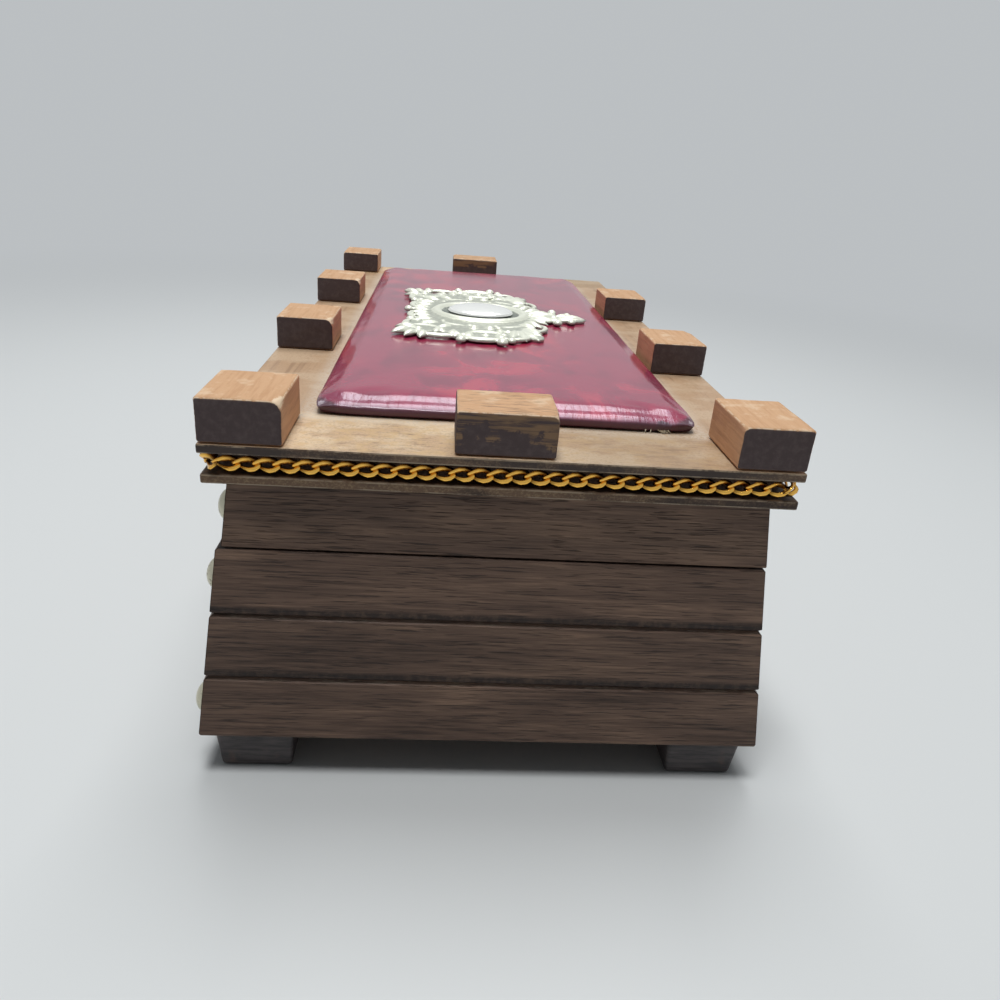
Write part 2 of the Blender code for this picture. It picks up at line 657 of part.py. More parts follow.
def add_mount():
    """Adds the cast mount that lies on the pad."""
    half = [mount_point(*shares) for shares in MOUNT_HALF_OUTLINE_SHARES]
    outline = half + [Vector((-point.x, point.y)) for point in reversed(half[1:-1])]
    mesh = flat_outline("ornament_mount", outline, MOUNT_THICKNESS / 2, smooth=True)
    mesh.transform(Matrix.Translation((0, 0, MOUNT_THICKNESS / 2)))
    mount = make_piece("ornament_mount", mesh, CAST_METAL, (*MOUNT_CENTRE, MOUNT_LEVEL), parent=LID)
    add_relief(mount)
    return mount


def add_boss():
    """Adds the oval boss inside the bezel."""
    size = Vector((BOSS_LENGTH / 2 - SEAT_GAP, BOSS_DEPTH / 2 - SEAT_GAP))
    rings = 6
    dome = [(sin(pi / 2 * i / rings), BOSS_HEIGHT * cos(pi / 2 * i / rings)) for i in range(rings + 1)]
    where = (*BOSS_CENTRE, MOUNT_LEVEL + MOUNT_THICKNESS + SEAT_GAP)
    boss = turned("ornament_boss", dome + [(0, 0)], POLISHED_METAL, where, parent=LID, steps=28)
    boss.scale = (size.x, size.y, 1)


def add_mount_pins(layers):
    """Adds the two pins that hold the mount to the lid, and their holes through each layer."""
    length = MOUNT_LEVEL + MOUNT_THICKNESS + SEAT_GAP - DECK_LEVEL + PIN_BITE
    for side, sign in (("right", 1), ("left", -1)):
        where = Vector((*MOUNT_CENTRE, MOUNT_LEVEL + MOUNT_THICKNESS + SEAT_GAP))
        where.x += sign * MOUNT_PIN_SHARE * MOUNT_LENGTH / 2
        profile = nail_profile(PIN_HEAD_RADIUS, PIN_HEAD_HEIGHT, PIN_RADIUS, length, 3)
        turned(f"ornament_pin_{side}", profile, BRASS, where, parent=LID, steps=12)
        hole = rod(f"pin_hole_{side}", PIN_RADIUS + SEAT_GAP, length + SEAT_GAP + OVERRUN, sides=12)
        middle = where + Vector((0, 0, (OVERRUN - length - SEAT_GAP) / 2))
        guide = make_guide(f"pin_hole_{side}", hole, middle, parent=LID)
        for layer in layers:
            combine(layer, guide, "DIFFERENCE")


MOUNT = add_mount()
add_boss()
add_mount_pins((MOUNT, PAD, PAD_BACKING, UPPER_BOARD))


# Domed nails

def add_nail(name, wall, where, turn, head, shank_length, material, parent):
    """Adds a domed nail or screw, and the hole for its shank in the wood."""
    head_radius, head_height, shank_radius = head
    turned(name, nail_profile(head_radius, head_height, shank_radius, shank_length), material, where,
           turn, parent)
    depth = shank_length + SEAT_GAP + OVERRUN
    hole = rod(f"{name}_hole", shank_radius + SEAT_GAP, depth, sides=12)
    axis = Matrix.Rotation(turn[0], 3, "X") @ Vector((0, 0, 1))
    middle = Vector(where) + axis * (OVERRUN - depth / 2)
    combine(wall, make_guide(f"{name}_hole", hole, middle, turn, parent), "DIFFERENCE")


def front_face(half, top_level, level):
    """Returns how far the front of a battered wall lies from the middle at a level."""
    return half.y + SLOPE * (top_level - level)


def add_studs(prefix, wall, half, base_level, top_level, planks, shift, parent):
    """Adds a pair of domed nails, one at each end of the front, to each of the named planks."""
    turn = (pi / 2 - BATTER, 0, 0)
    outward = Vector((0, -cos(BATTER), sin(BATTER)))
    for row, plank in planks.items():
        level = base_level + (plank + 0.5) * PLANK_HEIGHT
        reach = half.x + SLOPE * (top_level - level) - STUD_END_INSET
        for side, sign in (("right", 1), ("left", -1)):
            on_face = Vector((sign * reach, shift - front_face(half, top_level, level), level))
            add_nail(f"{prefix}_{row}_{side}", wall, on_face + outward * SEAT_GAP, turn,
                     (STUD_RADIUS, STUD_HEIGHT, STUD_SHANK_RADIUS), STUD_SHANK_LENGTH, BRASS, parent)


add_studs("case_stud", CASE_WALLS["front"], CASE_HALF, FOOT_HEIGHT, CASE_TOP_LEVEL,
          CASE_STUD_PLANKS, 0, CASE)
add_studs("lid_stud", SKIRT_WALLS["front"], SKIRT_HALF, SKIRT_LEVEL, SKIRT_LEVEL + PLANK_HEIGHT,
          {"middle": 0}, LID_SET_BACK, LID)


# Butt hinges on the back, set flat on the battered wall

TILT = Matrix.Rotation(BATTER, 3, "X")


def on_hinge(middle_x, across, outward, up):
    """Returns a place in the box's frame from one in a hinge's own frame."""
    return HINGE_AXIS + Vector((middle_x, 0, 0)) + TILT @ Vector((across, outward, up))


def hinge_box(name, low, high, middle_x, parent, piece=None):
    """Adds a box between two corners of a hinge's own frame, as a guide or as a leaf's plate."""
    size = Vector(high) - Vector(low)
    mesh = slab(name, *size)
    middle = (Vector(low) + Vector(high)) / 2
    where = on_hinge(middle_x, middle.x, middle.y, low[2])
    if piece:
        return make_piece(name, mesh, BRASS, where, (BATTER, 0, 0), parent)
    return make_guide(name, mesh, where, (BATTER, 0, 0), parent)


def add_leaf(name, middle_x, up, knuckles, step, wall, parent):
    """Adds a hinge leaf with its knuckles, bore, screw holes and two screws."""
    start = KNUCKLE_RADIUS + RUNNING_GAP
    back = -LEAF_TUCK - step
    front = back + LEAF_THICKNESS
    levels = sorted((up * start, up * LEAF_HEIGHT))
    leaf = hinge_box(name, (-LEAF_LENGTH / 2, back, levels[0]), (LEAF_LENGTH / 2, front, levels[1]),
                     middle_x, parent, piece=True)
    for number, (low_x, high_x) in enumerate(knuckles):
        tab_levels = sorted((0, up * (start + LEAF_THICKNESS)))
        tab = hinge_box(f"{name}_tab_{number}", (low_x, min(back, -LEAF_TUCK), tab_levels[0]),
                        (high_x, max(front, LEAF_THICKNESS - LEAF_TUCK), tab_levels[1]), middle_x, parent)
        combine(leaf, tab, "UNION")
        barrel = rod(f"{name}_barrel_{number}", KNUCKLE_RADIUS, high_x - low_x, Vector((1, 0, 0)), 24)
        where = on_hinge(middle_x, (low_x + high_x) / 2, 0, 0)
        combine(leaf, make_guide(f"{name}_barrel_{number}", barrel, where, parent=parent), "UNION")
    bore = rod(f"{name}_bore", HINGE_PIN_RADIUS + RUNNING_GAP, LEAF_LENGTH + 2 * OVERRUN, Vector((1, 0, 0)))
    where = on_hinge(middle_x, 0, 0, 0)
    combine(leaf, make_guide(f"{name}_bore", bore, where, parent=parent), "DIFFERENCE")
    for side, sign in (("right", 1), ("left", -1)):
        across = sign * SCREW_SPREAD_SHARE * LEAF_LENGTH / 2
        where = on_hinge(middle_x, across, front + SEAT_GAP, up * (start + LEAF_HEIGHT) / 2)
        screw = f"{name}_screw_{side}"
        add_nail(screw, wall, where, (BATTER - pi / 2, 0, 0),
                 (SCREW_HEAD_RADIUS, SCREW_HEAD_HEIGHT, SCREW_SHANK_RADIUS), SCREW_LENGTH, BRASS, parent)
        combine(leaf, bpy.data.objects[f"{screw}_hole"], "DIFFERENCE")


def add_hinge(name, middle_x):
    """Adds a hinge: the case leaf has the outer knuckles and the lid leaf the middle one."""
    knuckle = (LEAF_LENGTH - 2 * RUNNING_GAP) / 3
    edge = LEAF_LENGTH / 2
    outer = ((-edge, knuckle - edge), (edge - knuckle, edge))
    middle = ((-knuckle / 2, knuckle / 2),)
    add_leaf(f"{name}_case_leaf", middle_x, -1, outer, LID_STEP, CASE_WALLS["back"], CASE)
    add_leaf(f"{name}_lid_leaf", middle_x, 1, middle, 0, SKIRT_WALLS["back"], LID)
    length = LEAF_LENGTH / 2 + HINGE_PIN_HEAD
    profile = [(0, length), (HINGE_PIN_RADIUS / 2, length), (HINGE_PIN_RADIUS, length - HINGE_PIN_HEAD),
               (HINGE_PIN_RADIUS, HINGE_PIN_HEAD - length), (HINGE_PIN_RADIUS / 2, -length), (0, -length)]
    turned(f"{name}_pin", profile, STEEL, on_hinge(middle_x, 0, 0, 0), (0, pi / 2, 0), CASE, 12)


for hinge_side, hinge_sign in (("right", 1), ("left", -1)):
    add_hinge(f"hinge_{hinge_side}", hinge_sign * HINGE_SPREAD / 2)
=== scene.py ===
"""Keepsake box shaped like a small castle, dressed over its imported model.

Stained plank walls stand on block feet. The hinged lid has two thin boards with a gold chain
between them, worn merlons along its edge, and a glossy padded panel with a cast mount.
Everything is in metres; the box runs along X and its hinges are at the back, +Y.
"""

from math import atan2, cos, hypot, pi, radians, sin

import bmesh
import bpy
from mathutils import Matrix, Vector, noise


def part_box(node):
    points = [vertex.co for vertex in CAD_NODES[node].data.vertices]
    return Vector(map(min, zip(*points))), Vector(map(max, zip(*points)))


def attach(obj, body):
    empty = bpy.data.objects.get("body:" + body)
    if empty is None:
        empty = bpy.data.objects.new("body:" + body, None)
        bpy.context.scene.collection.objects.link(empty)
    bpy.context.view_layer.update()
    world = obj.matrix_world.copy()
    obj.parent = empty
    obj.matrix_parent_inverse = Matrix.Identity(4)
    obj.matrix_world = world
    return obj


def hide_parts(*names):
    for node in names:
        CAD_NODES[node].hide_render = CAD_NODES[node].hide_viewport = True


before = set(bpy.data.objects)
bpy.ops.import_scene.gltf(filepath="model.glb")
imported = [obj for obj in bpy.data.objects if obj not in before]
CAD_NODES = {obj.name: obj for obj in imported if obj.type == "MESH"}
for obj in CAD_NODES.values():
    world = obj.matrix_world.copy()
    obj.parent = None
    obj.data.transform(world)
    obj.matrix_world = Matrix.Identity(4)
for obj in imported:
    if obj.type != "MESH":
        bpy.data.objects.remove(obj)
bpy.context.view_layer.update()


# View: a camera close to the right end of the box and a little above it, looking along the lid.
# Its place and turn come from the box's own edges in the picture, and the picture is square.

CAMERA_PLACE = Vector((0.33322, -0.01595, 0.16525))
CAMERA_YAW = 0.08994
CAMERA_PITCH = 0.41609
CAMERA_ROLL = 0.08214
FOCAL_SHARE = 0.79155
SENSOR = 36.0
CLIP_START = 0.01


def add_object(name, data):
    """Adds an object to the scene and returns it."""
    thing = bpy.data.objects.new(name, data)
    bpy.context.scene.collection.objects.link(thing)
    return thing


def set_camera():
    """Adds the camera and makes it the scene's own."""
    lens = bpy.data.cameras.new("end_view")
    lens.sensor_width = SENSOR
    lens.lens = SENSOR * FOCAL_SHARE
    lens.clip_start = CLIP_START
    ahead = Vector((-cos(CAMERA_PITCH) * cos(CAMERA_YAW), cos(CAMERA_PITCH) * sin(CAMERA_YAW),
                    -sin(CAMERA_PITCH)))
    level = ahead.cross(Vector((0, 0, 1))).normalized()
    over = level.cross(ahead)
    right = cos(CAMERA_ROLL) * level + sin(CAMERA_ROLL) * over
    up = cos(CAMERA_ROLL) * over - sin(CAMERA_ROLL) * level
    turn = Matrix((right, up, -ahead)).transposed().to_4x4()
    camera = add_object("end_view", lens)
    camera.matrix_world = Matrix.Translation(CAMERA_PLACE) @ turn
    bpy.context.scene.camera = camera


set_camera()


# Light: a small soft lamp above the near end, a wide one above and behind, and a pale room that
# fills the shadows, less so from the near end's side. The floor fades into the room's own grey.

ROOM_GREY = (0.500, 0.523, 0.540)
# The fill from either end, and the slopes towards +X between which one turns into the other
FAR_FILL = 0.44
NEAR_FILL = 0.15
FILL_TURN_START = -0.3
FILL_TURN_END = 0.5
FLOOR_GREY = (0.690, 0.715, 0.720)
FLOOR_ROUGHNESS = 0.45
FLOOR_GLOSS = 0.25
FLOOR_HALF = 6.0
FLOOR_FADE_START = 0.32
FLOOR_FADE_END = 1.00
# Each lamp's name, the side of its square, its place and its power
LAMPS = (
    ("key_lamp", 0.30, (0.25, -0.10, 1.12), 6.2),
    ("top_lamp", 0.7, (-0.40, 0.05, 1.35), 9.2),
)


# An output knows the node tree that it is in, so the helpers below add their nodes to that tree.

def add_step(tree, kind, inputs=None, **settings):
    """Adds a shader node. An input takes a plain value or another node's output."""
    step = tree.nodes.new(f"ShaderNode{kind}")
    for key, value in settings.items():
        setattr(step, key, value)
    for key, value in (inputs or {}).items():
        if isinstance(value, bpy.types.NodeSocket):
            tree.links.new(value, step.inputs[key])
        else:
            step.inputs[key].default_value = value
    return step


def fade(value, low, high):
    """Returns 0 below one value and 1 above the other, with a smooth change between."""
    step = add_step(value.id_data, "MapRange", {"Value": value, "From Min": low, "From Max": high},
                    interpolation_type="SMOOTHSTEP")
    return step.outputs["Result"]


def ramp(value, below, above):
    """Returns what goes from one value or output to another while a value goes from 0 to 1."""
    step = add_step(value.id_data, "MapRange", {"Value": value, "To Min": below, "To Max": above})
    return step.outputs["Result"]


def sums(operation, *values):
    """Returns the result of a sum on outputs and plain values."""
    tree = next(value.id_data for value in values if isinstance(value, bpy.types.NodeSocket))
    return add_step(tree, "Math", dict(enumerate(values)), operation=operation).outputs[0]


def split(vector):
    """Returns the X, Y and Z of a vector."""
    return add_step(vector.id_data, "SeparateXYZ", {0: vector}).outputs


def shader_inputs(material):
    """Returns the inputs of a material's shader."""
    return material.node_tree.nodes["Principled BSDF"].inputs


def start_finish(name, roughness, metallic=0.0, gloss=0.5):
    """Starts a material, and returns it with the place on the object itself, in metres."""
    material = bpy.data.materials.new(name)
    material.use_nodes = True
    inputs = shader_inputs(material)
    inputs["Roughness"].default_value = roughness
    inputs["Metallic"].default_value = metallic
    inputs["Specular IOR Level"].default_value = gloss
    return material, add_step(material.node_tree, "TexCoord").outputs["Object"]


def pick(*pieces):
    """Selects these pieces and nothing else, and makes the first of them active."""
    bpy.ops.object.select_all(action="DESELECT")
    for piece in pieces:
        piece.select_set(True)
    if pieces:
        bpy.context.view_layer.objects.active = pieces[0]


def light_room():
    """Sets the room's grey, its fill and its lamps."""
    world = bpy.data.worlds.new("pale_room")
    world.use_nodes = True
    bpy.context.scene.world = world
    tree = world.node_tree
    background = tree.nodes["Background"]
    background.inputs["Color"].default_value = (*ROOM_GREY, 1)
    path = add_step(tree, "LightPath")
    seen = sums("MAXIMUM", path.outputs["Is Camera Ray"], path.outputs["Is Glossy Ray"])
    seen = sums("MAXIMUM", seen, path.outputs["Is Transmission Ray"])
    way = split(add_step(tree, "TexCoord").outputs["Generated"])
    fill = add_step(tree, "MapRange", {
        "Value": way["X"], "From Min": FILL_TURN_START, "From Max": FILL_TURN_END,
        "To Min": FAR_FILL, "To Max": NEAR_FILL,
    })
    tree.links.new(ramp(seen, fill.outputs["Result"], 1.0), background.inputs["Strength"])
    bpy.context.scene.view_settings.view_transform = "Standard"

    for name, size, place, power in LAMPS:
        lamp = bpy.data.lights.new(name, "AREA")
        lamp.shape = "SQUARE"
        lamp.size = size
        lamp.energy = power
        holder = add_object(name, lamp)
        holder.location = place
        holder.rotation_euler = (-Vector(place)).to_track_quat("-Z", "Y").to_euler()


def lay_floor():
    """Adds the floor, whose grey turns into the room's with distance."""
    pick()
    bpy.ops.mesh.primitive_plane_add(size=2 * FLOOR_HALF)
    floor = bpy.context.object
    floor.name = "floor"
    paper, place = start_finish("pale_floor", FLOOR_ROUGHNESS, gloss=FLOOR_GLOSS)
    shader_inputs(paper)["Base Color"].default_value = (*FLOOR_GREY, 1)
    tree = paper.node_tree
    distance = add_step(tree, "VectorMath", {0: place}, operation="LENGTH").outputs["Value"]
    glow = add_step(tree, "Emission", {"Color": (*ROOM_GREY, 1)})
    mixed = add_step(tree, "MixShader", {
        0: fade(distance, FLOOR_FADE_START, FLOOR_FADE_END),
        1: tree.nodes["Principled BSDF"].outputs["BSDF"],
        2: glow.outputs["Emission"],
    })
    tree.links.new(mixed.outputs["Shader"], tree.nodes["Material Output"].inputs["Surface"])
    floor.data.materials.append(paper)


light_room()
lay_floor()


# Walls of the case and the lid: walnut planks, stained dark and rubbed with wax, mitred at the
# corners. Each wall is one moulding with V grooves, so the grain and tone change at every groove.

PLANKS_IN_CASE = 3
CASE_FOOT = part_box("case_wall_right")[0].z
PLANK = (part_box("case_wall_right")[1].z - CASE_FOOT) / PLANKS_IN_CASE
# Shares of a plank's height: where the groove's dark band of dirt and painted shade starts and is
# full, and the worn rim over it
GROOVE_SHARE = 0.185
GROOVE_DARK_SHARE = 0.095
RIM_START_SHARE = 0.955
RIM_FULL_SHARE = 0.975
WALNUT_RELIEF = 0.00022
WALNUT_DARK = (0.055, 0.032, 0.023)
WALNUT_MIDDLE = (0.138, 0.084, 0.060)
WALNUT_LIGHT = (0.262, 0.164, 0.111)
WALNUT_PORE_AND_SHADE = (0.012, 0.007, 0.006)
WALNUT_WORN = (0.230, 0.175, 0.130)


def times(first, second):
    """Returns the product of two values or outputs."""
    return sums("MULTIPLY", first, second)


def plus(first, second):
    """Returns two values or outputs added up."""
    return sums("ADD", first, second)


def blotches(place, stretch, detail=4.0, roughness=0.6, distortion=0.0):
    """Returns a noise whose blotches are 1 / stretch metres long, alike or on each axis."""
    scale = stretch if isinstance(stretch, tuple) else (stretch,) * 3
    mapped = add_step(place.id_data, "Mapping", {"Vector": place, "Scale": scale})
    grain = add_step(place.id_data, "TexNoise", {
        "Vector": mapped.outputs["Vector"], "Scale": 1.0, "Detail": detail,
        "Roughness": roughness, "Distortion": distortion,
    })
    return grain.outputs["Fac"]


def tint(amount, below, above):
    """Returns a colour that goes from one to another; each is a colour or an output."""
    ends = [end if isinstance(end, bpy.types.NodeSocket) else (*end, 1) for end in (below, above)]
    step = add_step(amount.id_data, "Mix", {0: amount, 6: ends[0], 7: ends[1]}, data_type="RGBA")
    return step.outputs[2]


def finish(material, colour, height=None, depth=0.0):
    """Gives a material its colour, and a relief of a real depth from a height of 0 to 1."""
    tree = material.node_tree
    tree.links.new(colour, shader_inputs(material)["Base Color"])
    if height is not None:
        bump = add_step(tree, "Bump", {"Height": height, "Distance": depth, "Strength": 1.0})
        tree.links.new(bump.outputs["Normal"], shader_inputs(material)["Normal"])
    return material


def settle(bm, name):
    """Makes an object of a mesh that has been built, and returns it."""
    mesh = bpy.data.meshes.new(name)
    bm.to_mesh(mesh)
    bm.free()
    return add_object(name, mesh)


def coat(piece, material):
    """Smooths a piece and gives it its one material."""
    piece.data.shade_smooth()
    piece.data.materials.clear()
    piece.data.materials.append(material)


def stretched(axis, along, across):
    """Returns a stretch that is along one axis and across the two others."""
    return tuple(along if i == axis else across for i in range(3))


def stain_walnut(name, axis, foot=None):
    """Returns waxed walnut with its grain along an axis, and with a foot level, in planks."""
    material, place = start_finish(name, 0.5, gloss=0.3)
    tree = material.node_tree
    if foot is not None:
        level = sums("DIVIDE", sums("SUBTRACT", split(place)["Z"], foot), PLANK)
        plank = sums("FLOOR", level)
        shift = add_step(tree, "CombineXYZ", {0: plank, 1: plank}).outputs[0]
        place = add_step(tree, "VectorMath", {0: place, 1: shift}, operation="ADD").outputs[0]
    streaks = blotches(place, stretched(axis, 45, 1350), 5.0, 0.68, 0.6)
    bands = blotches(place, stretched(axis, 18, 190), 3.0, 0.6, 0.5)
    cloud = blotches(place, stretched(axis, 13, 45), 2.0)
    fibres = blotches(place, stretched(axis, 80, 2600), 3.0, 0.7)
    pores = fade(blotches(place, stretched(axis, 80, 2300), 2.0), 0.58, 0.66)
    figure = plus(times(streaks, 0.45), times(bands, 0.30))
    figure = plus(figure, times(cloud, 0.25))
    colour = tint(fade(figure, 0.38, 0.52), WALNUT_DARK, WALNUT_MIDDLE)
    colour = tint(fade(figure, 0.49, 0.64), colour, WALNUT_LIGHT)
    colour = tint(times(fade(fibres, 0.40, 0.72), 0.45), colour, WALNUT_MIDDLE)
    colour = tint(times(pores, 0.65), colour, WALNUT_PORE_AND_SHADE)
    if foot is not None:
        above = sums("FRACT", level)
        # Painted shade and wax dirt: the foot of each plank over a groove is darkened, under its
        # rounded edge
        groove = times(fade(level, 0.9, 1.0), fade(above, GROOVE_SHARE, GROOVE_DARK_SHARE))
        nicks = fade(blotches(place, 500, 3.0), 0.35, 0.60)
        groove = times(groove, plus(0.60, times(nicks, 0.3)))
        colour = tint(groove, colour, WALNUT_PORE_AND_SHADE)
        chips = fade(blotches(place, stretched(axis, 160, 900), 4.0, 0.7), 0.47, 0.60)
        rim = times(fade(above, RIM_START_SHARE, RIM_FULL_SHARE), fade(level, 2.2, 1.9))
        colour = tint(times(times(rim, chips), 0.7), colour, WALNUT_WORN)
        tone = add_step(tree, "TexWhiteNoise", {"W": plank}, noise_dimensions="1D").outputs["Value"]
        toned = add_step(tree, "HueSaturation", {"Color": colour, "Value": ramp(tone, 0.92, 1.10)})
        colour = toned.outputs["Color"]
    relief = sums("SUBTRACT", times(streaks, 0.6), times(pores, 0.6))
    relief = plus(relief, times(fibres, 0.4))
    return finish(material, colour, relief, WALNUT_RELIEF)


def refinish(node, material):
    """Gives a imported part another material, in its object's own slots."""
    for slot in CAD_NODES[node].material_slots:
        slot.material = material


for axis, sides in ((0, ("front", "back")), (1, ("left", "right"))):
    case_walnut = stain_walnut(f"walnut_case_{'xy'[axis]}", axis, CASE_FOOT)
    lid_walnut = stain_walnut(f"walnut_lid_{'xy'[axis]}", axis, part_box("lid_skirt_right")[0].z)
    for side in sides:
        refinish(f"case_wall_{side}", case_walnut)
        refinish(f"lid_skirt_{side}", lid_walnut)


# Floor and feet: a plain stained board let in between the walls, and four squared blocks that are
# glued and pinned under its corners. The feet are darker than the walls, and scuffed.

FOOT_STAIN_DARK = (0.024, 0.019, 0.021)
FOOT_STAIN_LIGHT = (0.075, 0.061, 0.060)
FOOT_RELIEF = 0.00010


def stain_feet():
    """Returns the near-black stain of the feet, rubbed paler in patches."""
    material, place = start_finish("foot_stain", 0.50)
    streaks = blotches(place, (90, 90, 700), 5.0)
    rubbed = fade(blotches(place, 160, 4.0), 0.55, 0.70)
    colour = tint(fade(streaks, 0.35, 0.65), FOOT_STAIN_DARK, FOOT_STAIN_LIGHT)
    colour = tint(times(rubbed, 0.35), colour, WALNUT_MIDDLE)
    return finish(material, colour, streaks, FOOT_RELIEF)


refinish("case_floor", stain_walnut("walnut_floor", 0))
refinish("channel_core", stain_walnut("walnut_core", 0))
FOOT_STAIN = stain_feet()
for end in ("left", "right"):
    for side in ("front", "back"):
        refinish(f"foot_{side}_{end}", FOOT_STAIN)


# Linings: red felt glued to the floor of the case and to the underside of the lid.

FELT_RED = (0.300, 0.012, 0.022)
FELT_SHADE = (0.150, 0.006, 0.012)
FELT_RELIEF = 0.00030


def press_felt():
    """Returns red felt with its short matted fibres."""
    material, place = start_finish("red_felt", 0.95)
    shader_inputs(material)["Sheen Weight"].default_value = 0.6
    shader_inputs(material)["Sheen Roughness"].default_value = 0.5
    fibres = blotches(place, 1600, 4.0, 0.7, 1.5)
    nap = blotches(place, 70, 3.0)
    colour = tint(fade(fibres, 0.35, 0.65), FELT_SHADE, FELT_RED)
    colour = tint(times(fade(nap, 0.45, 0.7), 0.3), colour, FELT_SHADE)
    return finish(material, colour, fibres, FELT_RELIEF)


FELT = press_felt()
refinish("case_lining", FELT)
refinish("lid_lining", FELT)


# Boards of the lid: two thin boards with dark stained edges. The upper face of the top one has
# been handled until the stain has gone, and a lighter patch shows where a merlon was knocked off.

DECK_TAN = (0.550, 0.380, 0.232)
DECK_PALE = (0.685, 0.535, 0.365)
DECK_SHADE = (0.255, 0.163, 0.095)
DECK_BROWN = (0.360, 0.215, 0.125)
DECK_FROST = (0.640, 0.570, 0.480)
DECK_GOLD = (0.600, 0.410, 0.200)
EDGE_DARK = (0.042, 0.026, 0.020)
EDGE_BROWN = (0.150, 0.090, 0.055)
EDGE_GOLD = (0.280, 0.190, 0.105)
ARRIS_PALE = (0.300, 0.230, 0.160)
RAW_WOOD = (0.640, 0.460, 0.300)
GLUE_AMBER = (0.300, 0.190, 0.100)
DECK_RELIEF = 0.00010
LIP_RELIEF = 0.00008
# Where the end pieces of the board start, with their grain across, and where their back is darker
END_START = 0.124
END_FULL = 0.128
BACK_SHADE_START = -0.005
BACK_SHADE_FULL = 0.030
# Pale rubbing beside the pad: how far out it reaches, and where it is full
PAD_LOW, PAD_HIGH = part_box("pad_cover")
FROST_REACH = 0.0060
FROST_FULL = 0.0010
# The lost merlon's place, and how far its scar's edge fades out and in
LOST_BLOCK_LOW = Vector((-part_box("block_front_4")[1].x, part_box("block_back_1")[0].y))
LOST_BLOCK_SIZE = (0.025, 0.019)
SCAR_OUT = 0.0002
SCAR_IN = 0.0004


def pad_offsets(place):
    """Returns, for X and for Y, the distance from the pad's middle and the pad's half size."""
    parts = split(place)
    return [(sums("ABSOLUTE", sums("SUBTRACT", parts[axis], (PAD_LOW[axis] + PAD_HIGH[axis]) / 2)),
             (PAD_HIGH[axis] - PAD_LOW[axis]) / 2) for axis in (0, 1)]


def board_edges(place, top):
    """Returns a board's colour: its top where it faces up, worn arrises and dark edges."""
    face = add_step(place.id_data, "NewGeometry").outputs["True Normal"]
    steep = sums("ABSOLUTE", split(face)["Z"])
    cloud = blotches(place, (25, 25, 120), 3.0)
    specks = blotches(place, (1300, 1300, 1700), 3.0, 0.75)
    edge = tint(fade(cloud, 0.40, 0.58), EDGE_DARK, EDGE_BROWN)
    gilt = times(fade(specks, 0.46, 0.66), fade(cloud, 0.35, 0.60))
    edge = tint(times(gilt, 0.8), edge, EDGE_GOLD)
    worn = fade(blotches(place, 90, 5.0, 0.75), 0.38, 0.56)
    arris = times(fade(steep, 0.12, 0.40), worn)
    colour = tint(arris, edge, ARRIS_PALE)
    return tint(fade(steep, 0.80, 0.97), colour, top)


def rub_deck():
    """Returns the worn face of the upper board, with the scar of the lost merlon."""
    material, place = start_finish("rubbed_deck", 0.46, gloss=0.4)
    parts = split(place)
    across = blotches(place, (820, 120, 820), 5.0, 0.75, 0.4)
    along = blotches(place, (14, 360, 360), 5.0, 0.6, 0.4)
    at_end = fade(sums("ABSOLUTE", parts["X"]), END_START, END_FULL)
    mixed = add_step(place.id_data, "Mix", {0: at_end, 2: along, 3: across}, data_type="FLOAT")
    grain = mixed.outputs[0]
    rubbed = blotches(place, (60, 34, 60), 5.0, 0.65)
    specks = blotches(place, (1500, 1100, 1500), 3.0, 0.75)
    top = tint(fade(grain, 0.32, 0.52), DECK_SHADE, DECK_TAN)
    top = tint(fade(rubbed, 0.44, 0.58), top, DECK_PALE)
    top = tint(times(fade(specks, 0.48, 0.68), 0.50), top, DECK_SHADE)
    gilded = fade(blotches(place, (330, 190, 330), 5.0, 0.75), 0.46, 0.62)
    top = tint(times(times(gilded, at_end), 0.6), top, DECK_GOLD)
    sides = sums("SUBTRACT", 1.0, at_end)
    at_back = times(at_end, fade(parts["Y"], BACK_SHADE_START, BACK_SHADE_FULL))
    top = tint(times(sides, 0.50), top, DECK_BROWN)
    top = tint(times(at_back, 0.50), top, DECK_SHADE)
    outside = [sums("SUBTRACT", offset, half) for offset, half in pad_offsets(place)]
    beside = fade(sums("MAXIMUM", *outside), FROST_REACH, FROST_FULL)
    frosted = times(beside, fade(specks, 0.36, 0.56))
    top = tint(times(frosted, 0.55), top, DECK_FROST)
    inside = []
    for key, low, size in zip("XY", LOST_BLOCK_LOW, LOST_BLOCK_SIZE):
        high = low + size
        inside.append(fade(parts[key], low - SCAR_OUT, low + SCAR_IN))
        inside.append(fade(parts[key], high + SCAR_OUT, high - SCAR_IN))
    scar = times(times(inside[0], inside[1]), times(inside[2], inside[3]))
    glue = fade(blotches(place, 150, 4.0), 0.50, 0.60)
    top = tint(scar, top, tint(times(glue, 0.6), RAW_WOOD, GLUE_AMBER))
    return finish(material, board_edges(place, top), grain, DECK_RELIEF)


def stain_lip():
    """Returns the dark stain of the lip board, worn pale on its arrises."""
    material, place = start_finish("lip_stain", 0.5, gloss=0.3)
    specks = blotches(place, 300, 5.0, 0.7)
    top = tint(fade(specks, 0.40, 0.65), EDGE_DARK, EDGE_BROWN)
    return finish(material, board_edges(place, top), specks, LIP_RELIEF)


refinish("upper_board", rub_deck())
refinish("lip_board", stain_lip())


# Chain: gold-plated curb chain lying in the channel between the boards, all round the lid. Each
# link is an oval of flattened wire, twisted so that it lies flat through its neighbours.

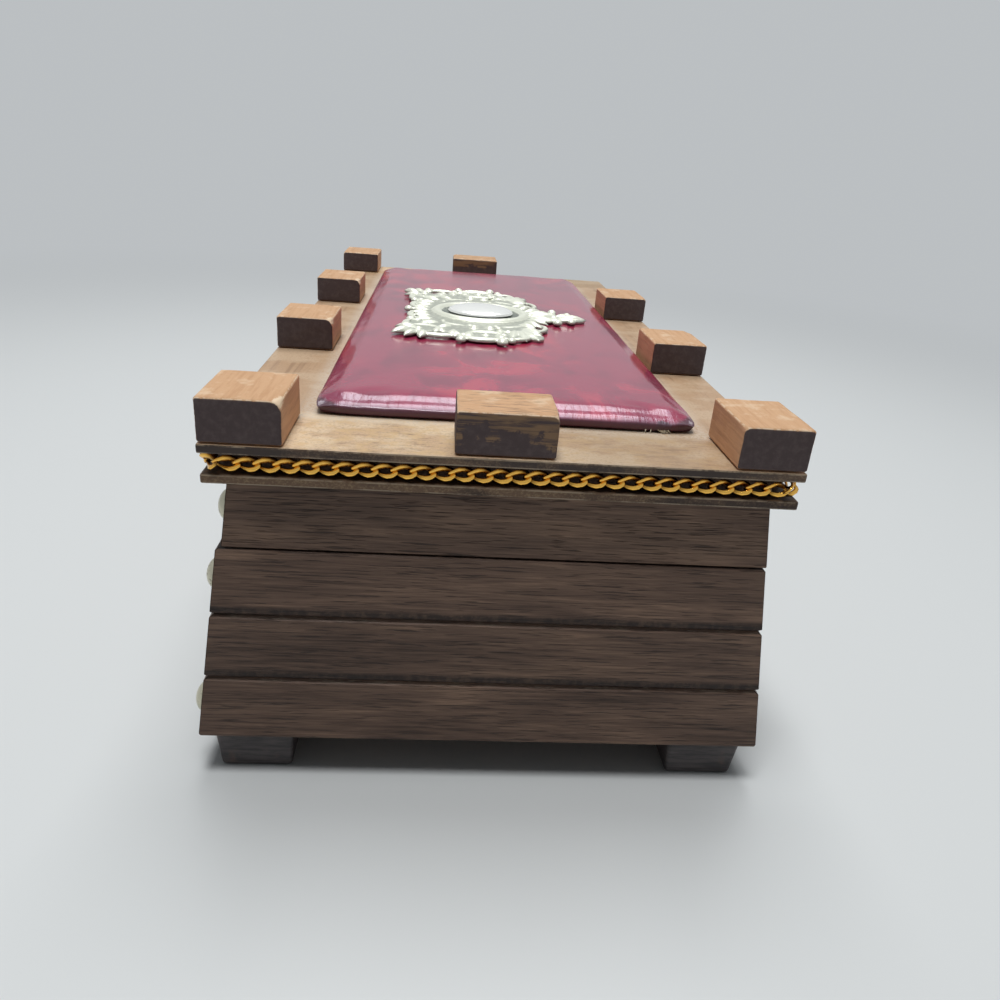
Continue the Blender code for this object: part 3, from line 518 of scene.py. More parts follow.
CHAIN_LOW, CHAIN_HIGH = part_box("chain")
CHAIN_CORNER = 0.0030
CHAIN_OUTWARD = 0.0007
CHAIN_HEIGHT = 0.0044
WIRE_WIDTH = 0.00155
WIRE_THICKNESS = 0.00090
LINK_PITCH = 0.0047
LINK_OVERLAP = 0.00115
LINK_TWIST = radians(54)
LINK_TURNS = 14
LINK_SWAY = 0.05
SWAY_STEP = 2.3
WIRE_SIDES = 5
WIRE_SHARE = 0.25
CHAIN_GOLD = (0.950, 0.540, 0.110)
CHAIN_BROWN = (0.120, 0.045, 0.010)


def gild_chain():
    """Returns gold plate, browned where the wire turns inwards, as tarnish and painted shade."""
    material, _ = start_finish("gilt_chain", 0.20, 1.0)
    crown = add_step(material.node_tree, "Attribute", attribute_name="crown").outputs["Fac"]
    # Tarnish and painted shade: the wire turns brown where it faces inwards, into the channel.
    return finish(material, tint(fade(crown, -0.35, 0.45), CHAIN_BROWN, CHAIN_GOLD))


def bend_link():
    """Returns one link of the chain: its length runs along X, and its flat face looks along Y."""
    pick()
    bpy.ops.mesh.primitive_torus_add(major_segments=LINK_TURNS, minor_segments=WIRE_SIDES,
                                     major_radius=1.0, minor_radius=WIRE_SHARE)
    link = bpy.context.object
    link.name = "chain_link"
    half_length = (LINK_PITCH + LINK_OVERLAP) / 2
    half_height = (CHAIN_HEIGHT - WIRE_WIDTH) / 2
    crown = link.data.attributes.new("crown", "FLOAT", "POINT")
    for vert in link.data.vertices:
        turn = atan2(vert.co.y, vert.co.x)
        outward = (hypot(vert.co.x, vert.co.y) - 1.0) / WIRE_SHARE * WIRE_WIDTH / 2
        level = vert.co.z / WIRE_SHARE * WIRE_THICKNESS / 2
        twist = LINK_TWIST * cos(turn)
        vert.co.x = (half_length + outward) * cos(turn)
        vert.co.z = (half_height + outward) * sin(turn) * cos(twist)
        vert.co.y = (half_height + outward) * sin(turn) * sin(twist) - level
        crown.data[vert.index].value = -vert.co.y / (WIRE_THICKNESS + half_height * 0.4)
    return link


def along_channel(distance, half, radius):
    """Returns the point and heading at a distance round a rectangle with round corners."""
    for quarter in range(4):
        run = 2 * ((half.y if quarter % 2 == 0 else half.x) - radius)
        reach = half.x if quarter % 2 == 0 else half.y
        turn = Matrix.Rotation(quarter * pi / 2, 2)
        if distance <= run:
            return turn @ Vector((reach, distance - run / 2)), quarter * pi / 2
        distance -= run
        if distance <= radius * pi / 2:
            angle = distance / radius
            centre = Vector((reach - radius, run / 2))
            spot = centre + radius * Vector((cos(angle), sin(angle)))
            return turn @ spot, quarter * pi / 2 + angle
        distance -= radius * pi / 2
    return Vector((half.x, -half.y + radius)), 0.0


def lay_chain():
    """Lays the links end to end round the lid as one piece, from the back right corner on."""
    link = bend_link()
    half = (CHAIN_HIGH - CHAIN_LOW).xy / 2 + Vector((1, 1)) * (CHAIN_OUTWARD - WIRE_WIDTH / 2)
    middle = (CHAIN_HIGH + CHAIN_LOW) / 2
    length = 4 * (half.x + half.y) - (8 - 2 * pi) * CHAIN_CORNER
    count = round(length / LINK_PITCH)
    first = 2 * (half.y - CHAIN_CORNER) + CHAIN_CORNER * pi / 4
    chain = bmesh.new()
    for number in range(count):
        place = (first + length * number / count) % length
        point, angle = along_channel(place, half, CHAIN_CORNER)
        sway = Matrix.Rotation(LINK_SWAY * sin(number * SWAY_STEP), 4, "X")
        turned = Matrix.Rotation(angle + pi / 2, 4, "Z") @ sway
        copy = link.data.copy()
        copy.transform(Matrix.Translation(middle + point.to_3d()) @ turned)
        chain.from_mesh(copy)
        bpy.data.meshes.remove(copy)
    bpy.data.objects.remove(link, do_unlink=True)
    piece = settle(chain, "curb_chain")
    coat(piece, gild_chain())
    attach(piece, "lid")
    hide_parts("chain")


lay_chain()


# Merlons: short blocks sawn from a stained square strip and glued to the lid's edge. Their sawn
# ends soaked up black stain, while tops and sides are worn to tan wood with rounded corners.

BLOCK_TAN = (0.510, 0.290, 0.150)
BLOCK_PALE = (0.580, 0.352, 0.196)
BLOCK_ARRIS = (0.760, 0.590, 0.410)
BLOCK_SIDE = (0.640, 0.355, 0.198)
BLOCK_COPPER = (0.530, 0.285, 0.162)
BLOCK_BLACK = (0.074, 0.050, 0.050)
BLOCK_SMOKE = (0.115, 0.086, 0.082)
BLOCK_BROWN = (0.240, 0.145, 0.080)
BLOCK_ROUND = 0.0007
BLOCK_CELLS = 4
BLOCK_DENT = 0.00030
BLOCK_SPLINTER = 0.0048
BLOCK_RELIEF = 0.00020
BLOCK_ARRIS_ANGLE = radians(40)
BLOCK_SHARP_ANGLE = radians(50)
# A corner shows splinters where more than this is worn off; wear reaches further along the strip
SPLINTER_LEAST = 0.0015
WEAR_ALONG = 0.4
WEAR_REACH = 1.5
WEAR_SHARE = 0.65
# Which top corner of a block is worn off, as signs along X and Y, and how far
WORN_CORNERS = {
    "block_front_1": (1, 1, 0.0017), "block_front_2": (1, 1, 0.0017),
    "block_front_3": (1, 1, 0.0016), "block_front_4": (1, -1, 0.0008),
    "block_back_1": (1, -1, 0.0010), "block_back_2": (-1, 1, 0.0015),
    "block_back_3": (1, 1, 0.0008), "block_end_right": (1, 1, 0.0012),
    "block_end_left": (-1, -1, 0.0012),
}


def wear_blocks(name, axis, rubbed_face=None):
    """Returns the worn finish of blocks whose grain runs along an axis, with a painted highlight on
    their upward arrises.

    A rubbed face is the level at which that block's outer side, which looks along X, turns from
    worn brown above to black below.
    """
    material, place = start_finish(name, 0.6, gloss=0.3)
    tree = material.node_tree
    facing = split(add_step(tree, "NewGeometry").outputs["Normal"])
    grain = blotches(place, stretched(axis, 50, 650), 5.0, 0.65, 0.3)
    rubbed = blotches(place, 130, 4.0, 0.65)
    ragged = blotches(place, 520, 4.0, 0.65)
    specks = fade(blotches(place, stretched(axis, 500, 1500), 2.0), 0.58, 0.68)
    top = tint(fade(grain, 0.34, 0.56), BLOCK_TAN, BLOCK_PALE)
    top = tint(times(fade(rubbed, 0.52, 0.66), 0.5), top, BLOCK_ARRIS)
    if rubbed_face is not None:
        dark_streaks = fade(blotches(place, stretched(axis, 150, 1100), 4.0), 0.52, 0.64)
        top = tint(times(dark_streaks, 0.7), top, BLOCK_BROWN)
    top = tint(times(specks, 0.30), top, BLOCK_COPPER)
    side = tint(fade(grain, 0.36, 0.60), BLOCK_COPPER, BLOCK_SIDE)
    upward = plus(facing["Z"], times(ragged, 0.3))
    colour = tint(fade(upward, 0.45, 0.75), side, top)
    rolled_over = times(fade(facing["Z"], 0.35, 0.05), 0.25)
    sawn = plus(sums("ABSOLUTE", facing[axis]), times(ragged, 0.5))
    sawn = plus(sawn, rolled_over)
    black = tint(times(fade(ragged, 0.40, 0.70), 0.6), BLOCK_BLACK, BLOCK_SMOKE)
    colour = tint(fade(sawn, 1.02, 1.14), colour, black)
    if rubbed_face is not None:
        outer = plus(plus(facing["X"], times(ragged, 0.3)), rolled_over)
        patchy = times(sums("SUBTRACT", rubbed, 0.5), 0.022)
        streaks = times(sums("SUBTRACT", grain, 0.5), 0.012)
        edge = plus(plus(split(place)["Z"], patchy), streaks)
        bare = fade(edge, rubbed_face - 0.0004, rubbed_face + 0.0010)
        streaked = tint(fade(grain, 0.40, 0.58), BLOCK_BLACK, BLOCK_BROWN)
        colour = tint(fade(outer, 0.92, 1.04), colour, tint(bare, black, streaked))
    shares = [sums("ABSOLUTE", share) for share in facing]
    largest = sums("MAXIMUM", sums("MAXIMUM", shares[0], shares[1]), shares[2])
    # Pale arrises on the edges that face up: partly wear, partly a painted highlight from above.
    arris = times(fade(largest, 0.93, 0.80), fade(ragged, 0.40, 0.55))
    arris = times(arris, fade(facing["Z"], 0.05, 0.40))
    colour = tint(times(arris, 0.75), colour, BLOCK_ARRIS)
    wear = add_step(tree, "Attribute", attribute_name="wear").outputs["Fac"]
    torn = fade(plus(wear, times(ragged, 0.8)), 0.95, 1.05)
    colour = tint(times(torn, fade(sawn, 1.10, 1.00)), colour, BLOCK_ARRIS)
    return finish(material, colour, plus(grain, times(ragged, 0.6)), BLOCK_RELIEF)


def shape(piece, kind, **settings):
    """Adds a modifier to the active piece and applies it."""
    step = piece.modifiers.new(kind.lower(), kind)
    for key, value in settings.items():
        setattr(step, key, value)
    bpy.ops.object.modifier_apply(modifier=step.name)


def saw_block(node, material):
    """Models one worn block over its solid."""
    low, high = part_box(node)
    pick()
    bpy.ops.mesh.primitive_cube_add(size=1, location=(low + high) / 2)
    block = bpy.context.object
    block.name = f"worn_{node}"
    block.scale = high - low
    bpy.ops.object.transform_apply(location=True, rotation=True, scale=True)
    shape(block, "SUBSURF", subdivision_type="SIMPLE", levels=BLOCK_CELLS,
          render_levels=BLOCK_CELLS)
    shape(block, "BEVEL", width=BLOCK_ROUND, segments=3, limit_method="ANGLE",
          angle_limit=BLOCK_ARRIS_ANGLE)
    sign_x, sign_y, depth = WORN_CORNERS[node]
    corner = Vector((high.x if sign_x > 0 else low.x, high.y if sign_y > 0 else low.y, high.z))
    middle = (low + high) / 2
    inward = Vector((0, middle.y - corner.y, middle.z - corner.z)).normalized()
    reach = WEAR_REACH * depth
    wear = block.data.attributes.new("wear", "FLOAT", "POINT")
    for vert in block.data.vertices:
        gap = Vector(((vert.co.x - corner.x) * WEAR_ALONG, vert.co.y - corner.y,
                      vert.co.z - corner.z)).length
        splinters = max(0.0, 1 - gap / BLOCK_SPLINTER) if depth > SPLINTER_LEAST else 0.0
        wear.data[vert.index].value = splinters
        if gap < reach:
            vert.co += inward * (1 - gap / reach) ** 1.3 * depth * WEAR_SHARE
        if vert.co.z > low.z + BLOCK_ROUND:
            dent = noise.noise(vert.co * 260) * 0.6 + noise.noise(vert.co * 900) * 0.25
            vert.co -= (vert.co - middle).normalized() * max(0.0, dent) * BLOCK_DENT
    coat(block, material)
    block.data.set_sharp_from_angle(angle=BLOCK_SHARP_ANGLE)
    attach(block, "lid")
    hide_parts(node)


ROW_FINISH = wear_blocks("worn_block_row", 0)
BLOCK_MIDDLE = sum(corner.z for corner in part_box("block_end_right")) / 2
END_FINISH = wear_blocks("worn_block_end", 1, BLOCK_MIDDLE)
for block_node in WORN_CORNERS:
    saw_block(block_node, END_FINISH if "end" in block_node else ROW_FINISH)


# Pad: glossy coated cloth drawn over thin wadding and a card, with a shallow channel pressed in
# along its border, and folded under at the corners, which are pinched and dark with dirt and
# painted shade. The coating is mottled maroon, with a fine grain and short puckers where it turns
# down the sides, which darken towards their foot with grime and painted shade.

PAD_CELLS = (96, 44, 4)
PAD_CROWDING = 0.86
PAD_SIDE = 0.0024
PAD_UNDERCUT = 0.0011
PAD_ROLL = 0.0024
PAD_ROLL_WIDTH = 0.0085
PAD_CORNER = 0.0010
PAD_RIPPLE = 0.00013
PAD_RIDGE = 0.00022
PAD_PUCKER = 0.00036
PAD_HELD = 0.0006
PAD_PRESSURE = 3.0
PAD_FRAMES = 14
PAD_LIMIT = 0.00035
FOLD_REACH = 0.0120
FOLD_WIDTH = 0.0021
FOLD_DEPTH = 0.0013
PAD_MAROON = (0.340, 0.022, 0.070)
PAD_RED = (0.480, 0.030, 0.075)
PAD_SHADE = (0.250, 0.016, 0.056)
PAD_GRIME_AND_SHADE = (0.052, 0.002, 0.008)
PAD_SHEEN = (0.780, 0.820, 1.000)
# Places: the sides' foot, dark with grime and painted shade, the pinched corners, the puckered
# border and the tear
GRIME_AND_SHADE_TOP = 0.0033
GRIME_AND_SHADE_FULL = 0.0020
PINCH_REACH = 0.0092
PINCH_FULL = 0.0072
BORDER_INSIDE = 0.0095
BORDER_FULL = 0.0045
TEAR_PLACE = Vector((PAD_HIGH.x, PAD_HIGH.y - 0.0103, PAD_LOW.z + 0.0012))
TEAR_REACH = 0.0036
TEAR_FULL = 0.0028
RAGGED = 0.002


def vary_gloss(material, amount, glossy, dull):
    """Makes a material's roughness go from glossy to dull with an amount."""
    roughness = shader_inputs(material)["Roughness"]
    material.node_tree.links.new(ramp(amount, glossy, dull), roughness)


def coat_cloth():
    """Returns the glossy mottled coating of the pad, puckered along its edges, with painted shade
    and grime low on its sides and at its corners.
    """
    material, place = start_finish("maroon_coated_cloth", 0.26, gloss=0.8)
    inputs = shader_inputs(material)
    inputs["Specular Tint"].default_value = (*PAD_SHEEN, 1)
    inputs["Coat Weight"].default_value = 0.5
    inputs["Coat Roughness"].default_value = 0.12
    mottle = blotches(place, (48, 60, 60), 4.0, 0.55, 0.8)
    patches = blotches(place, (20, 26, 26), 2.0)
    colour = tint(fade(mottle, 0.34, 0.52), PAD_SHADE, PAD_MAROON)
    spots = times(fade(mottle, 0.48, 0.62), fade(patches, 0.44, 0.56))
    colour = tint(spots, colour, PAD_RED)
    # Grime and painted shade: the sides darken towards their foot.
    low_down = fade(split(place)["Z"], PAD_LOW.z + GRIME_AND_SHADE_TOP, PAD_LOW.z + GRIME_AND_SHADE_FULL)
    colour = tint(times(low_down, 0.92), colour, PAD_GRIME_AND_SHADE)
    vary_gloss(material, low_down, 0.26, 0.60)
    ragged = times(blotches(place, 900), RAGGED)
    torn = add_step(place.id_data, "VectorMath", {0: place, 1: TEAR_PLACE}, operation="DISTANCE")
    torn = fade(plus(torn.outputs["Value"], ragged), TEAR_REACH, TEAR_FULL)
    colour = tint(torn, colour, PAD_GRIME_AND_SHADE)
    puckers = []
    gaps = []
    for (offset, half), stretch in zip(pad_offsets(place), ((90, 620, 200), (620, 90, 200))):
        border = fade(offset, half - BORDER_INSIDE, half - BORDER_FULL)
        gaps.append(sums("SUBTRACT", half, offset))
        puckers.append(times(border, blotches(place, stretch, 3.0, 0.6, 0.4)))
    # Painted shade and dirt: the pinched corners are darkened.
    pinched = fade(plus(plus(*gaps), ragged), PINCH_REACH, PINCH_FULL)
    colour = tint(times(pinched, 0.85), colour, PAD_GRIME_AND_SHADE)
    pebble = blotches(place, 1500, 2.0)
    wrinkle = blotches(place, 230, 3.0)
    relief = plus(times(pebble, 0.11), times(wrinkle, 0.18))
    relief = plus(relief, sums("MAXIMUM", *puckers))
    return finish(material, colour, relief, PAD_PUCKER)


def stuff_pad():
    """Models the pad as a closed cushion whose edges roll down to a short upright side."""
    half = (PAD_HIGH - PAD_LOW).xy / 2
    centre = (PAD_HIGH + PAD_LOW).xy / 2
    crown = PAD_HIGH.z - PAD_LOW.z - PAD_SIDE - PAD_ROLL
    bm = bmesh.new()
    bmesh.ops.create_cube(bm, size=2)
    for axis, count in enumerate(PAD_CELLS):
        edges = [edge for edge in bm.edges
                 if abs(edge.verts[0].co[axis] - edge.verts[1].co[axis]) > 1]
        bmesh.ops.subdivide_edges(bm, edges=edges, cuts=count - 1, use_grid_fill=True)
    for vert in bm.verts:
        up = vert.co.z
        along, across = (sin(share * PAD_CROWDING * pi / 2) / sin(PAD_CROWDING * pi / 2)
                         for share in vert.co.xy)
        gaps = (half.x * (1 - abs(along)), half.y * (1 - abs(across)))
        slopes = [max(0.0, 1 - gap / PAD_ROLL_WIDTH) for gap in gaps]
        rolled = 1 - min(1.0, hypot(*slopes)) ** 2
        pinch = PAD_CORNER * (slopes[0] * slopes[1]) ** 2 + PAD_UNDERCUT * (0.5 - 0.5 * up) ** 2
        ripple = noise.noise(Vector((along * half.x * 260, across * half.y * 260, 3.1)))
        vert.co.x = (half.x - pinch) * along
        vert.co.y = (half.y - pinch) * across
        if up > 0.99:
            vert.co.z = PAD_SIDE + PAD_ROLL * rolled + crown * (1 - along ** 4) * (1 - across ** 4)
            vert.co.z += PAD_RIPPLE * ripple * max(0.0, 1 - min(gaps) / 0.012)
        else:
            vert.co.z = PAD_SIDE * (up + 1) / 2
    pad = settle(bm, "padded_panel")
    pad.data.transform(Matrix.Translation((*centre, PAD_LOW.z)))
    return pad


def tuck_corners(pad):
    """Presses in the shallow channel along the border, and a short fold at each corner."""
    centre = (PAD_HIGH + PAD_LOW) / 2
    half = (PAD_HIGH - PAD_LOW) / 2
    for vert in pad.data.vertices:
        offset = vert.co - centre
        gap = Vector((half.x - abs(offset.x), half.y - abs(offset.y)))
        step = max(0.0, min(1.0, min(gap) / PAD_ROLL_WIDTH))
        slow = noise.noise(Vector((offset.x * 45, offset.y * 45, 7.7)))
        if vert.co.z > PAD_LOW.z + PAD_SIDE:
            wave = sin(2 * pi * (step - 0.35 - 0.10 * slow) / 0.6)
            vert.co.z -= PAD_RIDGE * wave * sin(pi * step)
        if gap.length < FOLD_REACH and vert.co.z > PAD_LOW.z + PAD_SIDE:
            beside = max(0.0, 1 - abs(gap.x - gap.y * 0.75) / FOLD_WIDTH)
            vert.co.z -= FOLD_DEPTH * beside * (1 - gap.length / FOLD_REACH)


def swell(pad):
    """Runs the cloth for a few frames under a little pressure, with its underside held."""
    before = [vert.co.copy() for vert in pad.data.vertices]
    held = pad.vertex_groups.new(name="underside")
    under = [vert.index for vert in pad.data.vertices if vert.co.z < PAD_LOW.z + PAD_HELD]
    held.add(under, 1.0, "ADD")
    cloth = pad.modifiers.new("cloth", "CLOTH")
    cloth.settings.vertex_group_mass = held.name
    cloth.settings.use_pressure = True
    cloth.settings.uniform_pressure_force = PAD_PRESSURE
    cloth.settings.effector_weights.gravity = 0
    cloth.settings.quality = 6
    cloth.settings.tension_stiffness = 25
    cloth.settings.bending_stiffness = 2
    cloth.point_cache.frame_start = 1
    cloth.point_cache.frame_end = PAD_FRAMES
    for step in range(1, PAD_FRAMES + 1):
        bpy.context.scene.frame_set(step)
    swollen = pad.evaluated_get(bpy.context.evaluated_depsgraph_get()).data
    moved = [vert.co.copy() for vert in swollen.vertices]
    pad.modifiers.remove(cloth)
    pad.vertex_groups.remove(held)
    bpy.context.scene.frame_set(1)
    for vert, old, new in zip(pad.data.vertices, before, moved):
        shift = new - old
        if shift.length > PAD_LIMIT:
            shift *= PAD_LIMIT / shift.length
        vert.co = old + shift
        vert.co.z = min(max(vert.co.z, PAD_LOW.z), PAD_HIGH.z + PAD_LIMIT)


def finish_pad():
    """Finishes the pad with one level of smoothing, its coating and its place on the lid."""
    pad = stuff_pad()
    swell(pad)
    tuck_corners(pad)
    pick(pad)
    shape(pad, "SUBSURF", levels=1, render_levels=1)
    coat(pad, coat_cloth())
    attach(pad, "lid")
    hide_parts("pad_cover")


finish_pad()


# Frayed threads: at the right end the cloth is torn along its lower edge near the back corner, and
# short cream threads of its cotton backing stick out and rest on the board.

MILLIMETRE = 0.001
TO_METRES = Matrix.Diagonal((MILLIMETRE, MILLIMETRE, MILLIMETRE, 1))
BOARD_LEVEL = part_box("upper_board")[1].z
THREAD_CREAM = (0.760, 0.690, 0.530)
THREAD_GREY = (0.420, 0.370, 0.280)
THREAD_RELIEF = 0.00003
# In millimetres: a thread's width, how high it starts, and how far inside the pad
THREAD_WIDTH = 0.30
THREAD_RISE = 0.9
THREAD_ROOT = 0.7
THREAD_STEPS = 6
# Threads: distance from the pad's back corner, sideways lean and reach outwards, in millimetres
THREADS = (
    (14.9, -0.5, 1.1), (13.5, -0.4, 1.2), (12.0, 1.6, 0.4), (11.8, 1.9, 0.6), (11.5, 2.1, 0.3),
    (11.2, 1.5, 0.7), (10.9, 2.4, 0.5), (10.6, 1.2, 0.6), (10.4, 1.8, 0.3), (9.9, 1.0, 0.8),
    (9.4, 1.6, 0.5), (8.8, 0.9, 0.9),
)


def draw_strand(name, points, widths):
    """Returns a strand of changing width through points, as a curve object."""
    curve = bpy.data.curves.new(name, "CURVE")
    curve.dimensions = "3D"
    curve.bevel_depth = 1.0
    curve.bevel_resolution = 2
    curve.use_fill_caps = True
    line = curve.splines.new("POLY")
    line.points.add(len(points) - 1)
    for point, place, width in zip(line.points, points, widths):
        point.co = (*place.to_3d(), 1)
        point.radius = width / 2
    return add_object(name, curve)


def join_pieces(pieces, name):
    """Makes pieces into meshes and joins them into one."""
    pick(*pieces)
    bpy.ops.object.convert(target="MESH")
    bpy.ops.object.join()
    bpy.ops.object.transform_apply(location=True, rotation=True, scale=True)
    joined = bpy.context.object
    joined.name = name
    return joined


def fray_edge():
    """Draws the threads out of the torn edge, in millimetres from the pad's back corner."""
    threads = []
    widths = [THREAD_WIDTH * (1.15 - 0.7 * step / THREAD_STEPS) for step in range(THREAD_STEPS + 1)]
    for back, lean, reach in THREADS:
        points = []
        for step in range(THREAD_STEPS + 1):
            share = step / THREAD_STEPS
            drop = THREAD_RISE * (1 - share ** 1.6) + THREAD_WIDTH / 2
            points.append(Vector((reach * share - THREAD_ROOT, lean * share ** 1.5 - back, drop)))
        threads.append(draw_strand("thread", points, widths))
    frayed = join_pieces(threads, "frayed_threads")
    frayed.data.transform(TO_METRES)
    frayed.data.transform(Matrix.Translation((PAD_HIGH.x, PAD_HIGH.y, BOARD_LEVEL)))
    material, place = start_finish("frayed_cotton", 0.9, gloss=0.2)
    fluff = blotches(place, 2500, 3.0)
    colour = tint(fade(fluff, 0.40, 0.65), THREAD_CREAM, THREAD_GREY)
    coat(frayed, finish(material, colour, fluff, THREAD_RELIEF))
    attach(frayed, "lid")


fray_edge()


# Card: a plain grey board inside the pad's underside that keeps the panel flat.

CARD_GREY = (0.300, 0.285, 0.260)
CARD_FLECK = (0.170, 0.160, 0.150)
CARD_RELIEF = 0.00008


def press_card():
    """Returns rough grey card with short flecks."""
    material, place = start_finish("grey_card", 0.9)
    flecks = blotches(place, 800, 4.0)
    colour = tint(fade(flecks, 0.4, 0.7), CARD_GREY, CARD_FLECK)
    return finish(material, colour, flecks, CARD_RELIEF)


refinish("pad_card", press_card())


# Domed nails, hinges and screws: pressed brass nails with a short shank, and small butt hinges
# let onto the back with slotted screws. The brass is pale and spotted with age.

BRASS_PALE = (0.600, 0.570, 0.440)
BRASS_SPOT = (0.260, 0.225, 0.150)
BRASS_RELIEF = 0.00004
STEEL_GREY = (0.420, 0.420, 0.420)
NAIL_MERGE = 0.00002
NAIL_SINK = 0.0009


def age_brass():
    """Returns pale brass with small dark spots."""
    material, place = start_finish("aged_brass", 0.32, 0.75)
    spots = fade(blotches(place, 700, 4.0, 0.7), 0.54, 0.68)
    vary_gloss(material, spots, 0.28, 0.60)
    return finish(material, tint(spots, BRASS_PALE, BRASS_SPOT), spots, BRASS_RELIEF)


def draw_steel():
    """Returns drawn steel wire with fine scratches along it."""
    material, place = start_finish("drawn_steel", 0.35, 1.0)
    scratches = blotches(place, (60, 3000, 3000), 3.0)
    return finish(material, tint(scratches, STEEL_GREY, BRASS_SPOT))


def press_nail(node):
    """Models one domed nail from a merged copy of its solid.

    The smoothing draws the copy in, so it is stretched to the solid's box again, a little sunk.
    """
    bm = bmesh.new()
    bm.from_mesh(CAD_NODES[node].data)
    bmesh.ops.remove_doubles(bm, verts=bm.verts, dist=NAIL_MERGE)
    nail = settle(bm, f"pressed_{node}")
    pick(nail)
    shape(nail, "SUBSURF", levels=2, render_levels=2)
    low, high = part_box(node)
    low.y += NAIL_SINK
    for axis in range(3):
        drawn = [vert.co[axis] for vert in nail.data.vertices]
        stretch = (high[axis] - low[axis]) / (max(drawn) - min(drawn))
        for vert, value in zip(nail.data.vertices, drawn):
            vert.co[axis] = low[axis] + (value - min(drawn)) * stretch
    coat(nail, BRASS)
    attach(nail, "lid" if node.startswith("lid") else "case")
    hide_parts(node)


BRASS = age_brass()
STEEL = draw_steel()
for node in CAD_NODES:
    if "stud" in node:
        press_nail(node)
    if "leaf" in node:
        refinish(node, BRASS)
    if node.startswith("hinge") and node.endswith("pin"):
        refinish(node, STEEL)


# Cast mount: a thin plate of pale metal with scrolls, leaves, shells and beads standing on it,
# cast in one and darkened in its hollows by toning and painted shade. Each element is set out for
# one half and mirrored, in millimetres from the mount's middle: across along X, then along Y
# towards the crest.

MOUNT_LOW, MOUNT_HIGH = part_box("ornament_mount")
MOUNT_MIDDLE = (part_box("ornament_pin_left")[0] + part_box("ornament_pin_right")[1]) / 2
BOSS_MIDDLE = sum(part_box("ornament_boss"), Vector()) / 2
PLATE_HEIGHT = 1.4
# The relief's seat inside the plate, and how far its underside is pressed flat, as shares
SUNK_SHARE = 0.6
UNDERSIDE_SHARE = 0.2
RELIEF_HEIGHT = (MOUNT_HIGH.z - MOUNT_LOW.z) / MILLIMETRE
# Heights over the mount's foot between which its hollows, darkened by toning and painted shade,
# turn pale, in millimetres
HOLLOW_TOP = 1.1
BRIGHT_FOOT = 2.1
CAST_GRAIN = 0.00042
CAST_RELIEF = 0.00006
CAST_METALLIC = 0.35
CAST_PALE = (0.860, 0.880, 0.750)
CAST_TONE_AND_SHADE = (0.430, 0.450, 0.380)
CAST_DARK = (0.100, 0.120, 0.105)
BOSS_SILVER = (0.960, 0.970, 0.940)
# Plate's half outline
PLATE_POINTS = (
    (0, -31), (20, -31), (33, -34), (40, -31), (39, -23), (45, -15), (48, -6), (46, 2), (41, 8.5),
    (42, 15.5), (33, 14.5), (22, 15), (13, 15), (8, 18), (6.5, 24), (5, 30), (3, 36), (0, 37.5),
)
# Ring round the boss: half widths across and along, and half the band's width
RING = (17.0, 17.8, 2.0)
# Scrolls: place, heading in degrees, half length, bend at the middle and at the ends, and width
SCROLLS = (
    (45.5, -23, 82, 9.5, 3.0, 24, 2.6), (49.0, -6.5, 88, 9.5, 3.5, 24, 2.8),
    (44.5, 7.5, 118, 7, 5.0, 26, 2.2), (29, -34.5, 4, 10, 2.5, 24, 2.4),
    (10, -33.5, -2, 9, 3.0, 26, 2.3), (30, -26, 70, 8, -6.0, -22, 2.0),
    (24, 18.5, 168, 8, 3.5, 26, 2.0), (8.5, 21, 110, 6, 6.0, 24, 1.7),
    (36, -5, 92, 8, -4.0, -20, 2.2), (25.5, -17, 60, 7, 4.0, 22, 1.9),
    (24.5, 6, 120, 7, 4.0, 22, 1.9),
)
SCROLL_STEPS = 14
# Leaves: place of the stem, heading in degrees, length and width
LEAVES = (
    (38, -32, -50, 9, 4.6), (34, -30, -95, 8.5, 4.2), (41, -27, -10, 8.5, 4.2),
    (40, -30, -28, 9, 3.8), (0, -26, -90, 9, 3.8), (5.5, -26, -86, 8.5, 3.6),
    (11, -25, -82, 9, 3.6), (17, -24, -74, 9, 3.6), (23, -22, -64, 9, 3.6), (27, -17, -45, 9, 3.4),
    (36, -16, -12, 9, 3.6), (38, -11, 0, 9, 3.6), (39, -0.5, 8, 8, 3.6), (30, 6.5, -8, 15, 3.6),
    (30, 7.5, 8, 16, 3.6), (30, 8.5, 24, 15, 3.7), (29, 8.5, 42, 13, 3.6), (28, 8.5, 62, 10, 3.4),
    (27, 8.5, 84, 9, 3.2), (33, -21, -20, 8, 3.4), (30, 1, -5, 8, 3.4), (0, 14, 90, 13, 5.6),
    (4, 14, 72, 12, 4.4), (8, 13, 54, 10, 4.2), (13, 11.5, 38, 10, 4.0), (18, 9, 46, 9, 3.8),
    (0, 26.5, 90, 12, 4.6), (2, 25, 66, 9, 3.8), (3, 22, 36, 8, 3.6),
)
LEAF_STEPS = 8
# Beads: place and radius
BEADS = (
    (50, -14, 2.0), (51, 0.5, 2.2), (47.5, 4, 1.8), (45, -16, 1.7), (38.5, -21, 1.7), (31, -9, 2.0),
    (30, -3, 1.9), (20, -33, 1.8), (0, -34.5, 2.0), (10.5, 25, 2.0), (7, 31, 1.7), (0, 24.5, 1.8),
    (26, -27.5, 1.6), (42, -5, 1.6), (34, 3.5, 1.5),
)


